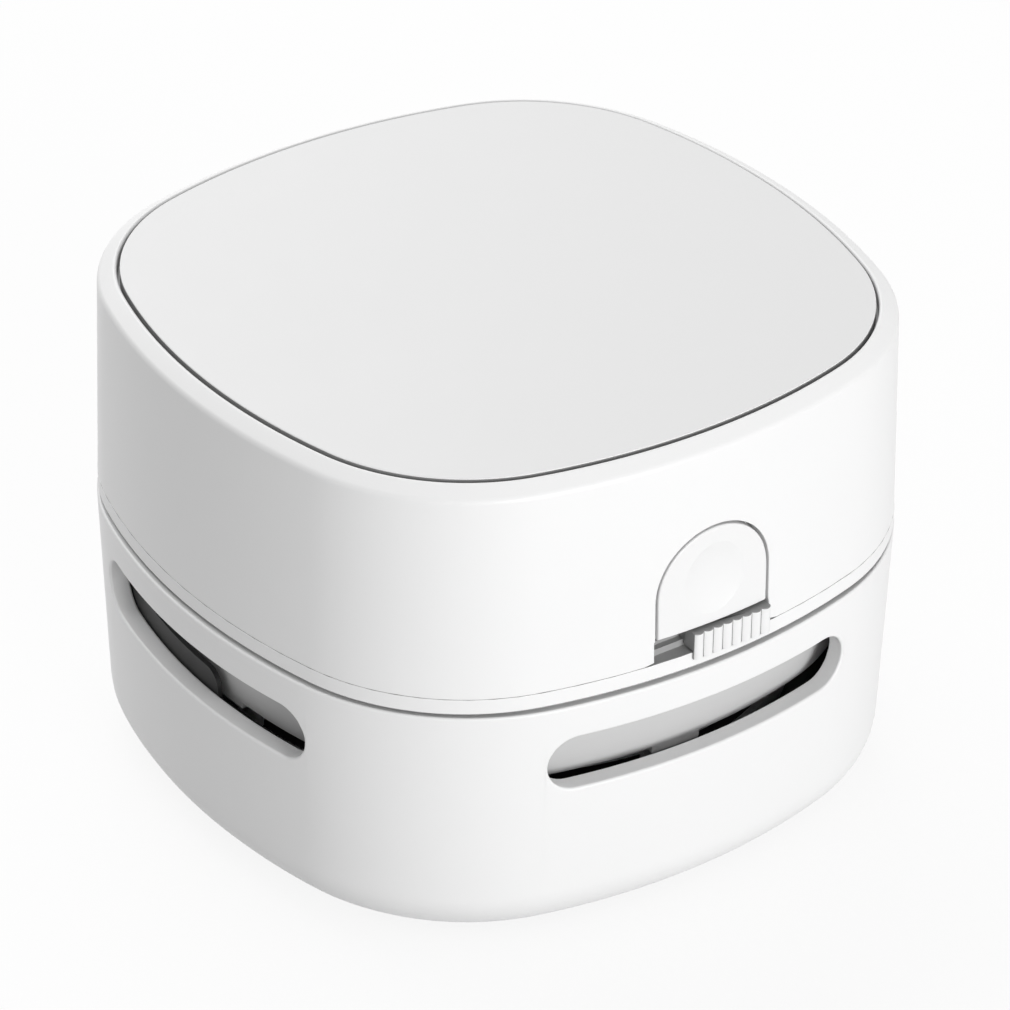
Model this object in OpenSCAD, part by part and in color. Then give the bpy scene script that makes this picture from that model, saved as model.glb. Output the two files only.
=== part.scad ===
// Desktop mini vacuum cleaner: a dust bin that stands on the desk and a power head that lifts off it.
// The front, with the release button and the slide switch, faces -Y. Millimetres, +Z up, origin on the desk.

/* [Dust bin] */
// Width of the bin at its rim
bin_w = 86; // [85.5:0.5:90]
// Radius of the bin's slightly bowed sides
bin_side_r = 79; // [74:1:90]
// Radius of the bin's corners
bin_corner_r = 28.7; // [26:0.1:30]
// Thickness of the bin's wall
bin_wall = 2.4; // [2:0.1:2.8]
// How much the bin's wall leans in from its rim to the desk
bin_draft = 1.13; // [0.8:0.01:1.3]
// Radius of the rounded edge at the bin's foot
foot_edge_r = 6.2; // [5:0.1:7]
// Height of the bin's rim over the desk
rim_z = 32.3; // [31:0.1:36]
// Height of the bin's underside over the desk
floor_z = 1; // [0.8:0.1:1.2]
// Thickness of the bin's floor
floor_t = 2.2; // [2:0.1:2.6]

/* [Exhaust slots] */
// Length of each slot, round ends included
slot_len = 41; // [30:1:44]
// Height of each slot
slot_h = 7; // [5:0.1:7.6]
// Height of the slots' middle over the desk
slot_z = 24.5; // [24.4:0.1:24.7]

/* [Power head] */
// Width of the head at its lower edge
head_w = 85; // [84:0.5:88]
// Radius of the head's slightly bowed sides
head_side_r = 80.5; // [76:0.5:90]
// Radius of the head's corners
head_corner_r = 26.2; // [25:0.1:28]
// Thickness of the head's wall
head_wall = 2.2; // [2:0.1:2.4]
// How much the head's wall leans in towards the top
head_draft = 0.65; // [0.5:0.05:0.9]
// Height of the whole cleaner over the desk
total_h = 61.2; // [61:0.2:66]
// Height of the bevel round the top
bevel_h = 1.4; // [1:0.1:1.8]
// Width of the bevel round the top
bevel_w = 2.3; // [2:0.1:2.6]
// Open seam between the bin's rim and the head
seam_gap = 0.5; // [0.4:0.05:0.7]
// Thickness of the deck, whose edge shows as a thin band
deck_t = 1.9; // [1.7:0.1:2.3]

/* [Top panel] */
// Thickness of the inlaid panel
panel_t = 1.9; // [1.6:0.1:2.2]
// Gap round the panel
panel_gap = 0.5; // [0.3:0.05:0.7]
// How far the panel lies below the rim
panel_drop = 0.1; // [0:0.05:0.3]

/* [Release button] */
// Width of the button
button_w = 14.9; // [13.9:0.1:15.1]
// Height of the button from its flat edge to the top of its arch
button_h = 12.2; // [11:0.1:12.6]
// Gap round the button
button_gap = 0.3; // [0.2:0.05:0.4]
// How far the button goes in
button_travel = 1.5; // [1.4:0.05:1.6]
// Width of the finger dimple
dimple_w = 8.6; // [7:0.1:10]
// Depth of the finger dimple
dimple_depth = 0.3; // [0.2:0.05:0.5]

/* [Slide switch] */
// Width of the notch in which the knob slides
notch_w = 15.8; // [15.5:0.1:16]
// Height of the notch under the button
notch_h = 2.8; // [2.7:0.1:3]
// Width of the ribbed knob
knob_w = 10.6; // [9:0.1:11.4]
// Height of the ribbed knob
knob_h = 3; // [2.8:0.1:3.1]
// How far the knob stands out of the shell
knob_out = 1.7; // [1.2:0.1:2]
// Number of ribs on the knob
rib_count = 8; // [6:1:9]

/* [Dust path] */
// Bore of the suction inlet
inlet_d = 19; // [15:0.5:20]
// Height of the inlet throat over the desk
throat_top = 13; // [11:0.5:14]
// Outer diameter of the dust cup at its rim
cup_d = 70.8; // [70.4:0.1:71.4]
// Outer diameter of the dust cup at its foot
cup_foot_d = 64.4; // [64:0.2:65.4]
// Height of the dust cup's rim over the desk
cup_top = 14.6; // [14.2:0.1:14.8]
// Wall of the dust cup
cup_wall = 1.5; // [1.3:0.1:1.6]
// Thickness of the liner in the bin
liner_t = 1.2; // [1:0.1:1.4]
// Height of the liner's edge over the desk
liner_top = 20.4; // [19:0.1:20.5]

/* [Fan] */
// Outer diameter of the fan shroud
shroud_d = 71; // [70.6:0.1:71.4]
// Wall of the fan shroud
shroud_wall = 1.5; // [1.3:0.1:1.7]
// Height of the shroud's lower edge over the desk
shroud_z = 17.4; // [17.3:0.05:17.5]
// Number of air windows in the shroud
window_count = 16; // [12:1:18]
// Diameter of the fan wheel
impeller_d = 62; // [50:0.5:64]
// Number of blades
blade_count = 9; // [7:1:11]
// Thickness of a blade
blade_t = 1; // [0.8:0.1:1.4]

/* [Motor] */
// Diameter of the motor can
motor_d = 24; // [22:0.1:24.4]
// Length of the motor can
motor_len = 18.8; // [17:0.1:19]
// Diameter of the motor shaft
shaft_d = 2; // [1.6:0.1:2.4]

/* [Battery] */
// Diameter of the cell
cell_d = 14.2; // [13.8:0.1:14.4]
// Length of the cell
cell_len = 50; // [44:0.5:50.4]

/* [Feet and brush] */
// Diameter of a rubber foot
foot_d = 9; // [7:0.1:9.2]
// Thickness of a rubber foot
foot_t = 1.8; // [1.5:0.1:2.2]
// Middle diameter of the brush ring
brush_d = 34; // [33:0.5:36]
// Number of tufts in the brush ring
tuft_count = 48; // [36:4:56]

/* [Hidden] */
$fn = 64;

shell_white = [0.93, 0.93, 0.93];
panel_grey = [0.86, 0.86, 0.86];
cup_black = [0.1, 0.1, 0.11];
cup_grey = [0.8, 0.8, 0.8];
steel = [0.72, 0.73, 0.75];

// Clearances: between rigid pieces that pass each other, and between pieces that only lie near
slip = 0.3;
snug = 0.1;
bearing_play = 0.05;
through = 1;

// Bin and head outlines as [half width, side radius, corner radius]
bin_shape = [bin_w / 2, bin_side_r, bin_corner_r];
head_shape = [head_w / 2, head_side_r, head_corner_r];

// Levels of the head, from the seam up
deck_z = rim_z + seam_gap;
deck_top = deck_z + deck_t;
panel_top = total_h - panel_drop;
ledge_z = panel_top - panel_t;
ledge_t = 1.3;
ledge_w = 2.3;
lip_inset = head_draft + bevel_w;

// Levels of the bin
floor_top = floor_z + floor_t;
tongue_top = deck_z - 0.25;
tongue_inset = 0.9;
floor_reach = 12;

// Front wall: where the outer faces and the pieces of the latch lie along -Y
front_y = -head_w / 2;
flange_y = front_y + 3.5;
flange_t = 1.3;
yoke_y = flange_y + flange_t;
yoke_t = 1.3;
yoke_back = yoke_y + yoke_t;
spring_len = 4.2;
bulkhead_y = yoke_back + spring_len;
bulkhead_t = 1.4;
bulkhead_w = 20;

// Button and notch
button_z = deck_top + notch_h + button_gap / 2;
button_top = button_z + button_h;
arch_z = button_top - button_w / 2;
flange_w = button_w + 3.7;
flange_z = button_z + 0.4;
flange_top = button_top + 1.4;

// Latch legs, hooks and the catches in the bin
leg_x = 9.6;
leg_w = 2;
hook_h = 1.8;
catch_h = 1;
catch_gap = 0.4;
catch_z = rim_z - 1.7;
hook_z = catch_z - catch_gap - hook_h;
hook_y = front_y + 3;
catch_y = hook_y + button_travel - 0.35;
leg_room = 0.4;

// Slide switch
knob_travel = notch_w - knob_w - 0.4;
knob_x = knob_travel / 2;
knob_top = deck_top + notch_h - 0.2;
knob_front = front_y - knob_out;
knob_back = front_y + 1.55;
rib_pitch = knob_w / rib_count;
rib_r = 0.62 * rib_pitch;
rib_y = knob_front + rib_r;
stem_z = knob_top - 1;
stem_t = 0.8;
rail_y = knob_back + slip;
rail_t = 0.8;
switch_y = front_y + 5.1;
switch_d = 4;
switch_w = 13;
switch_h = 2.8;
nub_w = 1.4;
stem_back = switch_y - 1.2;

// Dust path
base_plate_r = 28.2;
flange_r = 34.3;
plate_flange_t = 1.2;
liner_z = floor_top + plate_flange_t;
cup_z = liner_z + liner_t;
cup_foot_r = cup_foot_d / 2;
flare_r = 7.8;
clamp_circle_r = 31.4;
cup_boss_r = 3.2;
cup_boss_h = 5;
throat_wall = 1.5;
liner_hole_r = 27;
brush_w = 4.6;
brush_depth = 2;

// Fan, seal and filter
shroud_in_r = shroud_d / 2 - shroud_wall;
seal_z = cup_top + slip;
seal_w = 1.5;
clip_w = 7.7;
clip_t = 0.7;
shroud_top_t = 1.5;
filter_t = 1.6;
pad_t = 0.9;
fan_z = shroud_z + filter_t + pad_t + 0.8;
fan_top = deck_z - shroud_top_t - 0.7;
fan_disc_t = 1;
hub_r = 4;
shaft_bottom = fan_z + 1;

// Motor, its seat and its clamp
motor_z = deck_top;
motor_top = motor_z + motor_len;
cap_t = 2.5;
nose_r = 3.4;
nose_h = 1.6;
clamp_z = motor_top + cap_t;
clamp_t = 1.2;
clamp_post_y = 17.5;
post_r = 3;
fan_screw_r = 17.6;
fan_boss_r = 2;
fan_boss_h = 3;

// Screws that hold the head's shell on the deck
shell_screw = [34.8, 16];
shell_boss_r = 3;

// Battery and its cradle, left of the motor
cell_x = -23;
cradle_floor = 1.2;
cell_z = deck_top + cradle_floor + cell_d / 2 + snug;
cradle_w = cell_d + 2.4;
tab_t = 0.3;
cradle_len = cell_len + 2 * tab_t + 3.4;

// Charge board at the back
board_size = [24, 15, 1.6];
board_corner = [-9, 22.4];
board_z = 43.4;
usb_size = [9, 7.4, 3.2];
usb_z = board_z + board_size.z + usb_size.z / 2;
light_x = 9;

// Distance from the middle of a corner arc to the bin's or head's axis, along X and along Y
function corner_centre(shape) =
    let (k = shape[1] - shape[0], reach = shape[1] - shape[2])
    (-k + sqrt(2 * reach * reach - k * k)) / 2;

// Rounded square of eight tangent arcs, drawn in from its shape by an inset
side_steps = 10;
corner_steps = 10;
outline_count = 4 * (side_steps + corner_steps);
function outline(shape, inset = 0) =
    let (k = shape[1] - shape[0], c = corner_centre(shape), turn = atan2(c, c + k),
        side_r = shape[1] - inset, corner_r = shape[2] - inset,
        quarter = [
            for (i = [0:side_steps - 1]) let (t = -turn + 2 * turn * i / side_steps)
                [side_r * cos(t) - k, side_r * sin(t)],
            for (i = [0:corner_steps - 1]) let (t = turn + (90 - 2 * turn) * i / corner_steps)
                [c + corner_r * cos(t), c + corner_r * sin(t)]])
    [for (q = [0:3], p = quarter)
        [p.x * cos(90 * q) - p.y * sin(90 * q), p.x * sin(90 * q) + p.y * cos(90 * q)]];

// Profile whose corners [x, y, radius] become arcs of the given number of steps
function unit(v) = v / norm(v);
function rounded(path, steps = 3) = [
    for (i = [0:len(path) - 1])
        let (p = [path[i].x, path[i].y], r = path[i][2],
            last = path[(i + len(path) - 1) % len(path)], next = path[(i + 1) % len(path)],
            u = unit([last.x, last.y] - p), v = unit([next.x, next.y] - p), half = acos(u * v) / 2)
        if (r == 0) p
        else let (mid = p + unit(u + v) * r / sin(half), a = p + u * r / tan(half) - mid,
                b = p + v * r / tan(half) - mid, from = atan2(a.y, a.x),
                sweep = (atan2(b.y, b.x) - from + 540) % 360 - 180)
            each [for (s = [0:steps]) let (a = from + sweep * s / steps) mid + r * [cos(a), sin(a)]]];

// Skin of quads between rings of points that each have the same count
function skin_faces(rings, count, closed) = [
    for (i = [0:rings - (closed ? 1 : 2)], j = [0:count - 1])
        let (i2 = (i + 1) % rings, j2 = (j + 1) % count)
        [i * count + j, i2 * count + j, i2 * count + j2, i * count + j2]];

// Wall with a closed profile of [inset, z] points, swept round a rounded-square shape
module swept_wall(shape, profile)
    polyhedron(
        points = [for (p = profile, q = outline(shape, p.x)) [q.x, q.y, p.y]],
        faces = skin_faces(len(profile), outline_count, true));

// Solid through a stack of [inset, z] levels of a rounded-square shape
module stacked_solid(shape, levels)
    polyhedron(
        points = [for (p = levels, q = outline(shape, p.x)) [q.x, q.y, p.y]],
        faces = concat(skin_faces(len(levels), outline_count, false),
            [[for (j = [0:outline_count - 1]) j]],
            [[for (j = [outline_count - 1:-1:0]) (len(levels) - 1) * outline_count + j]]));

// Flat plate of a rounded-square shape, drawn in by an inset
module shape_plate(shape, inset, z, t)
    translate([0, 0, z]) linear_extrude(t) polygon(outline(shape, inset));

// Upright rim between two insets of a rounded-square shape, open at the front for the latch
module shape_rim(shape, outer, inner, z, t, front_gap)
    difference() {
        shape_plate(shape, outer, z, t);
        shape_plate(shape, inner, z - through, t + 2 * through);
        translate([-front_gap / 2, -shape[0], z - through]) cube([front_gap, 12, t + 2 * through]);
    }

module ring(outer_r, inner_r, z, t)
    translate([0, 0, z]) difference() {
        cylinder(r = outer_r, h = t);
        translate([0, 0, -through]) cylinder(r = inner_r, h = t + 2 * through);
    }

module at(points) for (p = points) translate([p.x, p.y, 0]) children();

function four(x, y) = [[x, y], [-x, y], [-x, -y], [x, -y]];
function on_circle(r, count, start = 0) =
    [for (i = [0:count - 1]) r * [cos(start + 360 * i / count), sin(start + 360 * i / count)]];

// Slot with round ends, long along X, cut along Y through the wall in front of the origin
module slot_cut(len, h, depth)
    rotate([90, 0, 0]) {
        for (side = [-1, 1]) translate([side * (len - h) / 2, 0, 0])
            cylinder(d = h, h = depth, center = true);
        cube([len - h, h, depth], center = true);
    }

// Pan-head screw with its head's seat at z = 0, the shank up and the head down
module screw_up(shank_r, len, head_r, head_h) {
    cylinder(r = shank_r, h = len);
    translate([0, 0, -head_h]) cylinder(r = head_r, h = head_h);
}

module screw_down(shank_r, len, head_r, head_h) mirror([0, 0, 1]) screw_up(shank_r, len, head_r, head_h);

// Smooth wire along a few points: a six-sided tube
wire_r = 0.6;
wire_sides = 6;
function smooth_at(p, i, t) =
    let (n = len(p) - 1, a = p[max(i - 1, 0)], b = p[i], c = p[min(i + 1, n)], d = p[min(i + 2, n)])
    0.5 * (2 * b + (c - a) * t + (2 * a - 5 * b + 4 * c - d) * t * t + (3 * b - a - 3 * c + d) * t * t * t);
function smooth_path(p, steps) = concat(
    [for (i = [0:len(p) - 2], s = [0:steps - 1]) smooth_at(p, i, s / steps)], [p[len(p) - 1]]);
function ring_at(path, i, r, sides) =
    let (n = len(path) - 1, ahead = unit(path[min(i + 1, n)] - path[max(i - 1, 0)]),
        side = unit(cross(ahead, abs(ahead.z) > 0.9 ? [1, 0, 0] : [0, 0, 1])), up = cross(side, ahead))
    [for (k = [0:sides - 1]) path[i] + r * (cos(360 * k / sides) * up + sin(360 * k / sides) * side)];
module wire(points, steps = 3) {
    path = smooth_path(points, steps);
    polyhedron(
        points = [for (i = [0:len(path) - 1]) each ring_at(path, i, wire_r, wire_sides)],
        faces = concat(skin_faces(len(path), wire_sides, false),
            [[for (k = [0:wire_sides - 1]) k]],
            [[for (k = [wire_sides - 1:-1:0]) (len(path) - 1) * wire_sides + k]]));
}

// ---- Dust bin ----

bin_profile = rounded([
    [floor_reach, floor_z, 0],
    [bin_draft, floor_z, foot_edge_r],
    [0, rim_z, 0.5],
    [tongue_inset, rim_z, 0],
    [tongue_inset, tongue_top, 0],
    [bin_wall, tongue_top, 0],
    [bin_wall + bin_draft, floor_top, foot_edge_r - bin_wall],
    [floor_reach, floor_top, 0]], 5);

module lower_housing() color(shell_white) difference() {
    union() {
        swept_wall(bin_shape, bin_profile);
        shape_plate(bin_shape, floor_reach - 1, floor_z, floor_t);
        for (side = [-1, 1]) translate([side * leg_x, 0, 0]) latch_catch();
    }
    translate([0, 0, floor_z - through]) cylinder(r = base_plate_r + slip, h = floor_t + 2 * through);
    for (turn = [0:90:270]) rotate(turn)
        translate([0, -bin_w / 2, slot_z]) slot_cut(slot_len, slot_h, 12);
    at(on_circle(clamp_circle_r, 4)) {
        translate([0, 0, floor_z - through]) cylinder(r = 1.3, h = floor_t + 2 * through);
        translate([0, 0, floor_z - through]) cylinder(r = 2.3, h = through + 1.2);
    }
    at(foot_places) translate([0, 0, floor_z - through])
        cylinder(d = foot_d + 2 * snug, h = through + foot_t - floor_z);
}

// Ledge inside the bin's front wall, with a sloped top, that a hook snaps under
catch_w = leg_w + 0.4;
module latch_catch()
    translate([-catch_w / 2, 0, 0]) rotate([90, 0, 90]) linear_extrude(catch_w)
        polygon([[-bin_w / 2 + 1.6, catch_z], [catch_y, catch_z], [catch_y, catch_z + 0.4],
            [catch_y - 0.6, catch_z + catch_h], [-bin_w / 2 + 1.6, catch_z + catch_h]]);

foot_places = four(24, 24);

module rubber_feet() color([0.25, 0.25, 0.26])
    at(foot_places) rotate_extrude() polygon(rounded([
        [0, 0, 0], [foot_d / 2, 0, 0.3], [foot_d / 2, foot_t, 0], [0, foot_t, 0]], 3));

// Suction plate with a bell mouth and a groove for the brush
module base_plate() color([0.85, 0.85, 0.85]) difference() {
    rotate_extrude() polygon([
        [inlet_d / 2, floor_z + 1.6], [inlet_d / 2 + 2.2, floor_z],
        [brush_d / 2 - brush_w / 2 - snug, floor_z],
        [brush_d / 2 - brush_w / 2 - snug, floor_z + brush_depth],
        [brush_d / 2 + brush_w / 2 + snug, floor_z + brush_depth],
        [brush_d / 2 + brush_w / 2 + snug, floor_z], [base_plate_r, floor_z], [base_plate_r, floor_top],
        [flange_r, floor_top], [flange_r, liner_z], [inlet_d / 2, liner_z]]);
    at(on_circle(clamp_circle_r, 4)) translate([0, 0, floor_z]) cylinder(r = 1.3, h = 2 * liner_z);
}

// Backing ring with two rows of bristle tufts, in four arcs that leave ways in for the air
tuft_r = 0.65;
module brush_ring() color([0.2, 0.2, 0.21]) {
    ring(brush_d / 2 + brush_w / 2, brush_d / 2 - brush_w / 2, floor_z + 0.6, brush_depth - 0.6);
    for (row = [0, 1], i = [0:tuft_count / 2 - 1])
        let (place = 360 * (i + row / 2) / (tuft_count / 2), r = brush_d / 2 + (row - 0.5) * brush_w / 2)
        if (abs((place + 360) % 90 - 45) < 38)
            rotate(place) translate([r, 0, 0.15]) cylinder(r = tuft_r, h = floor_z + 0.9, $fn = 8);
}

module base_screws() color(steel)
    at(on_circle(clamp_circle_r, 4)) translate([0, 0, floor_z + 1.2])
        screw_up(0.9, cup_z + cup_boss_h - 0.9 - floor_z - 1.2, 2.1, 1);

// Dark tray that lines the bin, open under the dust cup
liner_inset = bin_wall + slip;
liner_profile = [
    [floor_reach, liner_z],
    [bin_wall + bin_draft + 1.9, liner_z],
    [liner_inset + bin_draft * 0.8, liner_z + 3],
    [liner_inset + bin_draft * 0.4, liner_top],
    [liner_inset + bin_draft * 0.4 + liner_t, liner_top],
    [liner_inset + bin_draft * 0.8 + liner_t, liner_z + 3.4],
    [bin_wall + bin_draft + 1.6 + liner_t, cup_z],
    [floor_reach, cup_z]];

module bin_liner() color(cup_black) difference() {
    union() {
        swept_wall(bin_shape, liner_profile);
        shape_plate(bin_shape, floor_reach - 1, liner_z, liner_t);
    }
    translate([0, 0, liner_z - through]) cylinder(r = liner_hole_r, h = liner_t + 2 * through);
    at(on_circle(clamp_circle_r, 4)) translate([0, 0, liner_z - through])
        cylinder(r = 1.3, h = liner_t + 2 * through);
}

// Round dust cup: its wall flares from the foot to the rim, and the inlet's throat stands in its middle
flare_steps = 6;
function flare(r, end_r) =
    let (sweep = acos((cup_foot_r + flare_r - end_r) / r))
    [for (i = [0:flare_steps]) let (a = sweep * i / flare_steps)
        [cup_foot_r + flare_r - r * cos(a), cup_z + r * sin(a)]];
function reversed(list) = [for (i = [len(list) - 1:-1:0]) list[i]];

module dust_cup() color(cup_grey) difference() {
    union() {
        rotate_extrude() polygon(concat(
            flare(flare_r, cup_d / 2),
            [[cup_d / 2, cup_top], [cup_d / 2 - cup_wall, cup_top]],
            reversed([for (p = flare(flare_r + cup_wall, cup_d / 2 - cup_wall))
                if (p.y > cup_z + cup_wall) p]),
            [[cup_foot_r - cup_wall, cup_z + cup_wall], [inlet_d / 2 + throat_wall + 1, cup_z + cup_wall],
                [inlet_d / 2 + throat_wall, throat_top], [inlet_d / 2, throat_top], [inlet_d / 2, liner_z],
                [inlet_d / 2 + throat_wall + 1, liner_z], [inlet_d / 2 + throat_wall + 1, cup_z]]));
        at(on_circle(clamp_circle_r, 4)) translate([0, 0, cup_z]) cylinder(r = cup_boss_r, h = cup_boss_h);
    }
    at(on_circle(clamp_circle_r, 4)) translate([0, 0, cup_z - through])
        cylinder(r = 0.9, h = through + cup_boss_h - 0.6);
}

// ---- Power head ----

head_profile = rounded([
    [0, deck_top, 0],
    [head_draft, total_h - bevel_h, 0.9],
    [lip_inset, total_h, 0.3],
    [lip_inset, ledge_z, 0],
    [lip_inset + ledge_w, ledge_z, 0],
    [lip_inset + ledge_w, ledge_z - ledge_t, 0],
    [lip_inset + ledge_w - 1.2, ledge_z - ledge_t, 0],
    [head_draft + head_wall, ledge_z - ledge_t - 2, 0],
    [head_wall, deck_top, 0]], 3);

// Prism along Y with the button's outline: flat below, a half circle on top
module arch_prism(w, bottom, top, from, to)
    translate([0, to, 0]) rotate([90, 0, 0]) linear_extrude(to - from) {
        intersection() {
            translate([0, top - w / 2]) circle(d = w);
            translate([-w / 2, top - w / 2]) square([w, w / 2]);
        }
        translate([-w / 2, bottom]) square([w, top - w / 2 - bottom]);
    }

module upper_housing() color(shell_white) difference() {
    union() {
        swept_wall(head_shape, head_profile);
        for (p = four(shell_screw.x, shell_screw.y)) translate([p.x, p.y, deck_top]) {
            cylinder(r = shell_boss_r, h = 12);
            translate([p.x > 0 ? 0 : -4.6, -0.8, 0]) cube([4.6, 1.6, 12]);
        }
    }
    arch_prism(button_w + 2 * button_gap, deck_top + notch_h, button_top + button_gap, front_y - 4,
        front_y + 4.5);
    translate([-notch_w / 2, front_y - 4, deck_top - through]) cube([notch_w, 8, notch_h + through]);
    translate([0, -front_y, usb_z]) slot_cut(usb_size.x + 0.6, usb_size.z + 0.6, 8);
    translate([light_x, -front_y, usb_z]) rotate([90, 0, 0]) cylinder(r = 1, h = 8, center = true);
    at(four(shell_screw.x, shell_screw.y)) translate([0, 0, deck_top - through])
        cylinder(r = 0.9, h = 10 + through);
}

// Inlaid panel with four snap legs that hook under the shell's ledge
panel_inset = lip_inset + panel_gap;
panel_chamfer = 0.3;
snap_y = -head_w / 2 + lip_inset + ledge_w + slip;
module top_panel() color(panel_grey) {
    stacked_solid(head_shape, [[panel_inset, ledge_z], [panel_inset, panel_top - panel_chamfer],
        [panel_inset + panel_chamfer, panel_top]]);
    for (turn = [0:90:270]) rotate(turn) translate([-4, 0, 0]) rotate([90, 0, 90]) linear_extrude(8)
        polygon([[snap_y, ledge_z], [snap_y + 1.2, ledge_z], [snap_y + 1.2, ledge_z - ledge_t - 1.1],
            [snap_y, ledge_z - ledge_t - 1.1], [snap_y - 0.8, ledge_z - ledge_t - 0.4],
            [snap_y, ledge_z - ledge_t - snug]]);
}

// Deck: the head's floor, with everything that the motor, latch, switch and board sit on
module motor_deck() color(shell_white) difference() {
    union() {
        shape_plate(head_shape, 0, deck_z, deck_t);
        shape_rim(bin_shape, bin_wall + slip, bin_wall + slip + 1.5, deck_z - 4, 4 + deck_t / 2, 27);
        shape_rim(head_shape, head_wall + snug, head_wall + snug + 1.2, deck_top - deck_t / 2,
            1.5 + deck_t / 2, 27);
        ring(motor_d / 2 + 2, motor_d / 2 + snug, deck_top - deck_t / 2, 3.3 + deck_t / 2);
        for (side = [-1, 1]) translate([0, side * clamp_post_y, deck_top - deck_t / 2])
            cylinder(r = post_r, h = clamp_z - deck_top + deck_t / 2);
        at(on_circle(fan_screw_r, 4, 45)) translate([0, 0, deck_z])
            cylinder(r = fan_boss_r, h = deck_t + fan_boss_h);
        at(board_posts) translate([0, 0, deck_z]) cylinder(r = 2.2, h = board_z - deck_z);
        bulkhead();
        switch_rail();
    }
    translate([0, 0, deck_z - through]) cylinder(r = nose_r + snug, h = deck_t + 2 * through);
    for (side = [-1, 1]) translate([side * leg_x, 0, 0]) leg_slot();
    for (p = four(shell_screw.x, shell_screw.y)) translate([p.x, p.y, deck_top]) {
        translate([0, 0, -2 * deck_t]) cylinder(r = 1.2, h = 3 * deck_t);
        cylinder(r = shell_boss_r + slip, h = 4);
        translate([p.x > 0 ? 0 : -4.9, -1.1, 0]) cube([4.9, 2.2, 4]);
    }
    at(on_circle(fan_screw_r, 4, 45)) translate([0, 0, deck_z - through]) cylinder(r = 0.8, h = through + 4);
    for (side = [-1, 1]) translate([0, side * clamp_post_y, clamp_z - 8]) cylinder(r = 0.8, h = 8 + through);
    at(board_posts) translate([0, 0, board_z - 6]) cylinder(r = 0.8, h = 6 + through);
}

board_posts = [[-6.5, 25.2], [12, 34.5]];

// Upright wall behind the latch that its spring pushes against, on two gussets
module bulkhead() {
    difference() {
        translate([-bulkhead_w / 2, bulkhead_y, deck_top - deck_t / 2])
            cube([bulkhead_w, bulkhead_t, button_top - deck_top + deck_t / 2]);
        translate([-4, bulkhead_y - through, deck_top]) cube([8, bulkhead_t + 2 * through, 3.4]);
    }
    for (side = [-1, 1]) translate([side * (bulkhead_w / 2 - 0.6) - 0.6, bulkhead_y + bulkhead_t, deck_top])
        rotate([90, 0, 90]) linear_extrude(1.2) polygon([[-0.2, -0.4], [5, -0.4], [0, 10], [-0.2, 10]]);
}

// Stepped rail behind the knob; the knob's stem slides over its top edge
module switch_rail() {
    translate([-notch_w / 2 + slip, rail_y + 0.8, deck_top - deck_t / 2])
        cube([notch_w - 2 * slip, rail_t, stem_z - slip - deck_top + deck_t / 2]);
    translate([-notch_w / 2 + slip, rail_y, deck_top - deck_t / 2])
        cube([notch_w - 2 * slip, 1.2, 0.8 + deck_t / 2]);
}

// Way through the deck for one latch leg and its hook, with the leg's travel
module leg_slot()
    translate([-leg_w / 2 - leg_room, hook_y - leg_room, deck_z - through])
        cube([leg_w + 2 * leg_room, yoke_back + button_travel - hook_y + 2 * leg_room, deck_t + 2 * through]);

// Round shroud under the deck with a ring of air windows near its top and four clips round the seal
module fan_shroud() color(shell_white) difference() {
    union() {
        rotate_extrude() polygon([
            [shroud_in_r, shroud_z], [shroud_d / 2, shroud_z], [shroud_d / 2, deck_z], [6, deck_z],
            [6, deck_z - shroud_top_t], [shroud_in_r, deck_z - shroud_top_t]]);
        for (turn = [0:90:270]) rotate(turn) intersection() {
            ring(shroud_d / 2, shroud_d / 2 - clip_t, seal_z + slip, shroud_z - seal_z);
            translate([-clip_w / 2, -shroud_d / 2 - through, seal_z]) cube([clip_w, 5, shroud_z]);
        }
    }
    for (i = [0:window_count - 1]) rotate(360 * (i + 0.5) / window_count)
        translate([shroud_in_r - 1, -3.6, shroud_z + 8.4]) cube([shroud_wall + 2, 7.2, 4.6]);
    at(on_circle(fan_screw_r, 4, 45)) translate([0, 0, deck_z - shroud_top_t - through])
        cylinder(r = 1, h = shroud_top_t + 2 * through);
}

module shroud_screws() color(steel)
    at(on_circle(fan_screw_r, 4, 45)) translate([0, 0, deck_z - shroud_top_t]) screw_up(0.8, 5, 1.7, 0.5);

// Grid of rings and spokes that carries the filter pad
frame_r = shroud_in_r - snug;
frame_rim = 2.6;
grid_rings = 3;
grid_bar = 1.4;
module filter_frame() color(cup_black) {
    pitch = (frame_r - frame_rim) / (grid_rings + 1);
    ring(frame_r, frame_r - frame_rim, shroud_z, filter_t);
    for (i = [1:grid_rings]) ring(i * pitch + grid_bar / 2, i * pitch - grid_bar / 2, shroud_z, filter_t);
    translate([0, 0, shroud_z]) cylinder(r = pitch / 2, h = filter_t);
    for (turn = [0:60:300]) rotate(turn) translate([0, -grid_bar / 2, shroud_z])
        cube([frame_r - frame_rim / 2, grid_bar, filter_t]);
}

module filter_pad() color([0.92, 0.9, 0.84])
    translate([0, 0, shroud_z + filter_t]) cylinder(r = shroud_in_r - 1.2, h = pad_t);

module cup_seal() color([0.08, 0.08, 0.08])
    ring(shroud_d / 2 - clip_t - snug, shroud_d / 2 - clip_t - snug - seal_w, seal_z, shroud_z - seal_z);

// ---- Fan and motor ----

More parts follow.
